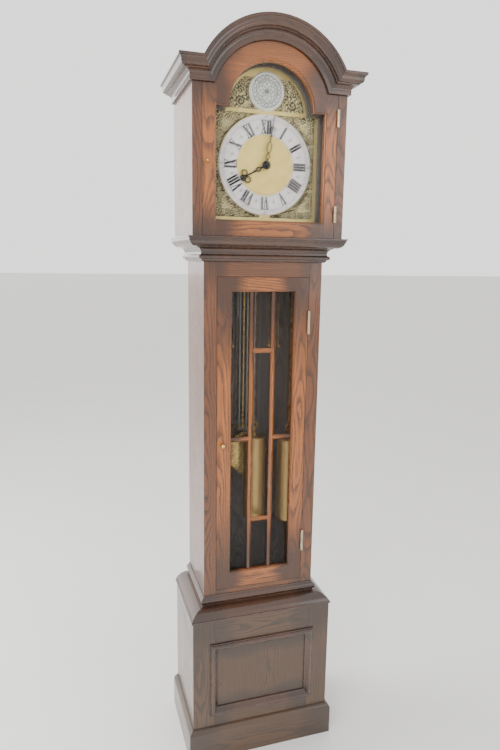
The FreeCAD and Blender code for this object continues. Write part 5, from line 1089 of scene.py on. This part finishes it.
def makeCamera():
    yaw, pitch, roll = (math.radians(cameraLook[key]) for key in ("yaw", "pitch", "roll"))
    ahead = Vector((math.sin(yaw) * math.cos(pitch), math.cos(yaw) * math.cos(pitch), math.sin(pitch)))
    level = Vector((math.cos(yaw), -math.sin(yaw), 0))
    above = level.cross(ahead)
    right = level * math.cos(roll) + above * math.sin(roll)
    up = above * math.cos(roll) - level * math.sin(roll)
    place = cameraLook["place"]
    data = bpy.data.cameras.new("camera")
    data.sensor_width = cameraLook["sensor"]
    data.lens = cameraLook["focal"] / cameraLook["imageHeight"] * cameraLook["sensor"]
    camera = bpy.data.objects.new("camera", data)
    camera.matrix_world = Matrix((
        (right.x, up.x, -ahead.x, place[0]), (right.y, up.y, -ahead.y, place[1]),
        (right.z, up.z, -ahead.z, place[2]), (0, 0, 0, 1)))
    bpy.context.collection.objects.link(camera)
    bpy.context.scene.camera = camera


studioLook = {
    "lights": [
        {"name": "key", "place": (-1.9, -2.2, 2.7), "aim": (0, 0, 1.55), "size": 1.5, "power": 48},
        {"name": "window", "place": (-2.7, 1.0, 2.3), "aim": (0, 0, 1.4), "size": 2.0, "power": 100},
        {"name": "fill", "place": (1.9, -2.4, 2.0), "aim": (0, 0, 1.5), "size": 1.6, "power": 14},
    ],
    "sky": 1.2, "glow": 1.5, "glowFrom": (-0.35, 0.93, 0.1), "glowStart": 0.55, "backdrop": 1.75,
    "airTone": (1, 0.995, 0.985, 1), "floorReach": 60.0,
    "floorTones": ((0.86, 0.85, 0.83, 1), (0.90, 0.89, 0.87, 1)),
}


def makeFloor():
    bm = bmesh.new()
    bmesh.ops.create_grid(bm, x_segments=1, y_segments=1, size=studioLook["floorReach"])
    mesh = bpy.data.meshes.new("floor")
    bm.to_mesh(mesh)
    bm.free()
    made, tree, shader = newMaterial("paleFloor")
    tone = blendColour(tree, cloud(tree, objectPlace(tree), 3.0), *studioLook["floorTones"])
    connect(tree, shader, Base_Color=tone, Roughness=0.7)
    mesh.materials.append(made)
    floor = bpy.data.objects.new("floor", mesh)
    bpy.context.collection.objects.link(floor)


def makeLights():
    for look in studioLook["lights"]:
        data = bpy.data.lights.new(look["name"], "AREA")
        data.shape = "SQUARE"
        data.size = look["size"]
        data.energy = look["power"]
        light = bpy.data.objects.new(look["name"], data)
        place = Vector(look["place"])
        aim = Vector(look["aim"]) - place
        light.matrix_world = Matrix.Translation(place) @ aim.to_track_quat("-Z", "Y").to_matrix().to_4x4()
        bpy.context.collection.objects.link(light)
    world = bpy.data.worlds.new("studio")
    world.use_nodes = True
    tree = world.node_tree
    towards = put(tree, "ShaderNodeTexCoord").node.outputs["Generated"]
    facingGlow = put(tree, "ShaderNodeVectorMath", {"operation": "DOT_PRODUCT"}, in0=towards,
                     in1=studioLook["glowFrom"]).node.outputs["Value"]
    glow = spread(tree, facingGlow, studioLook["glowStart"], 1.0, 0.0, studioLook["glow"], "SMOOTHSTEP")
    lit = sums(tree, "ADD", glow, studioLook["sky"])
    seen = put(tree, "ShaderNodeLightPath").node.outputs["Is Camera Ray"]
    shown = sums(tree, "MULTIPLY", seen, studioLook["backdrop"])
    unseen = sums(tree, "MULTIPLY", sums(tree, "SUBTRACT", 1.0, seen), lit)
    tree.links.new(sums(tree, "ADD", shown, unseen), tree.nodes["Background"].inputs["Strength"])
    tree.nodes["Background"].inputs["Color"].default_value = studioLook["airTone"]
    bpy.context.scene.world = world


makeCamera()
makeFloor()
makeLights()
print("studio set")
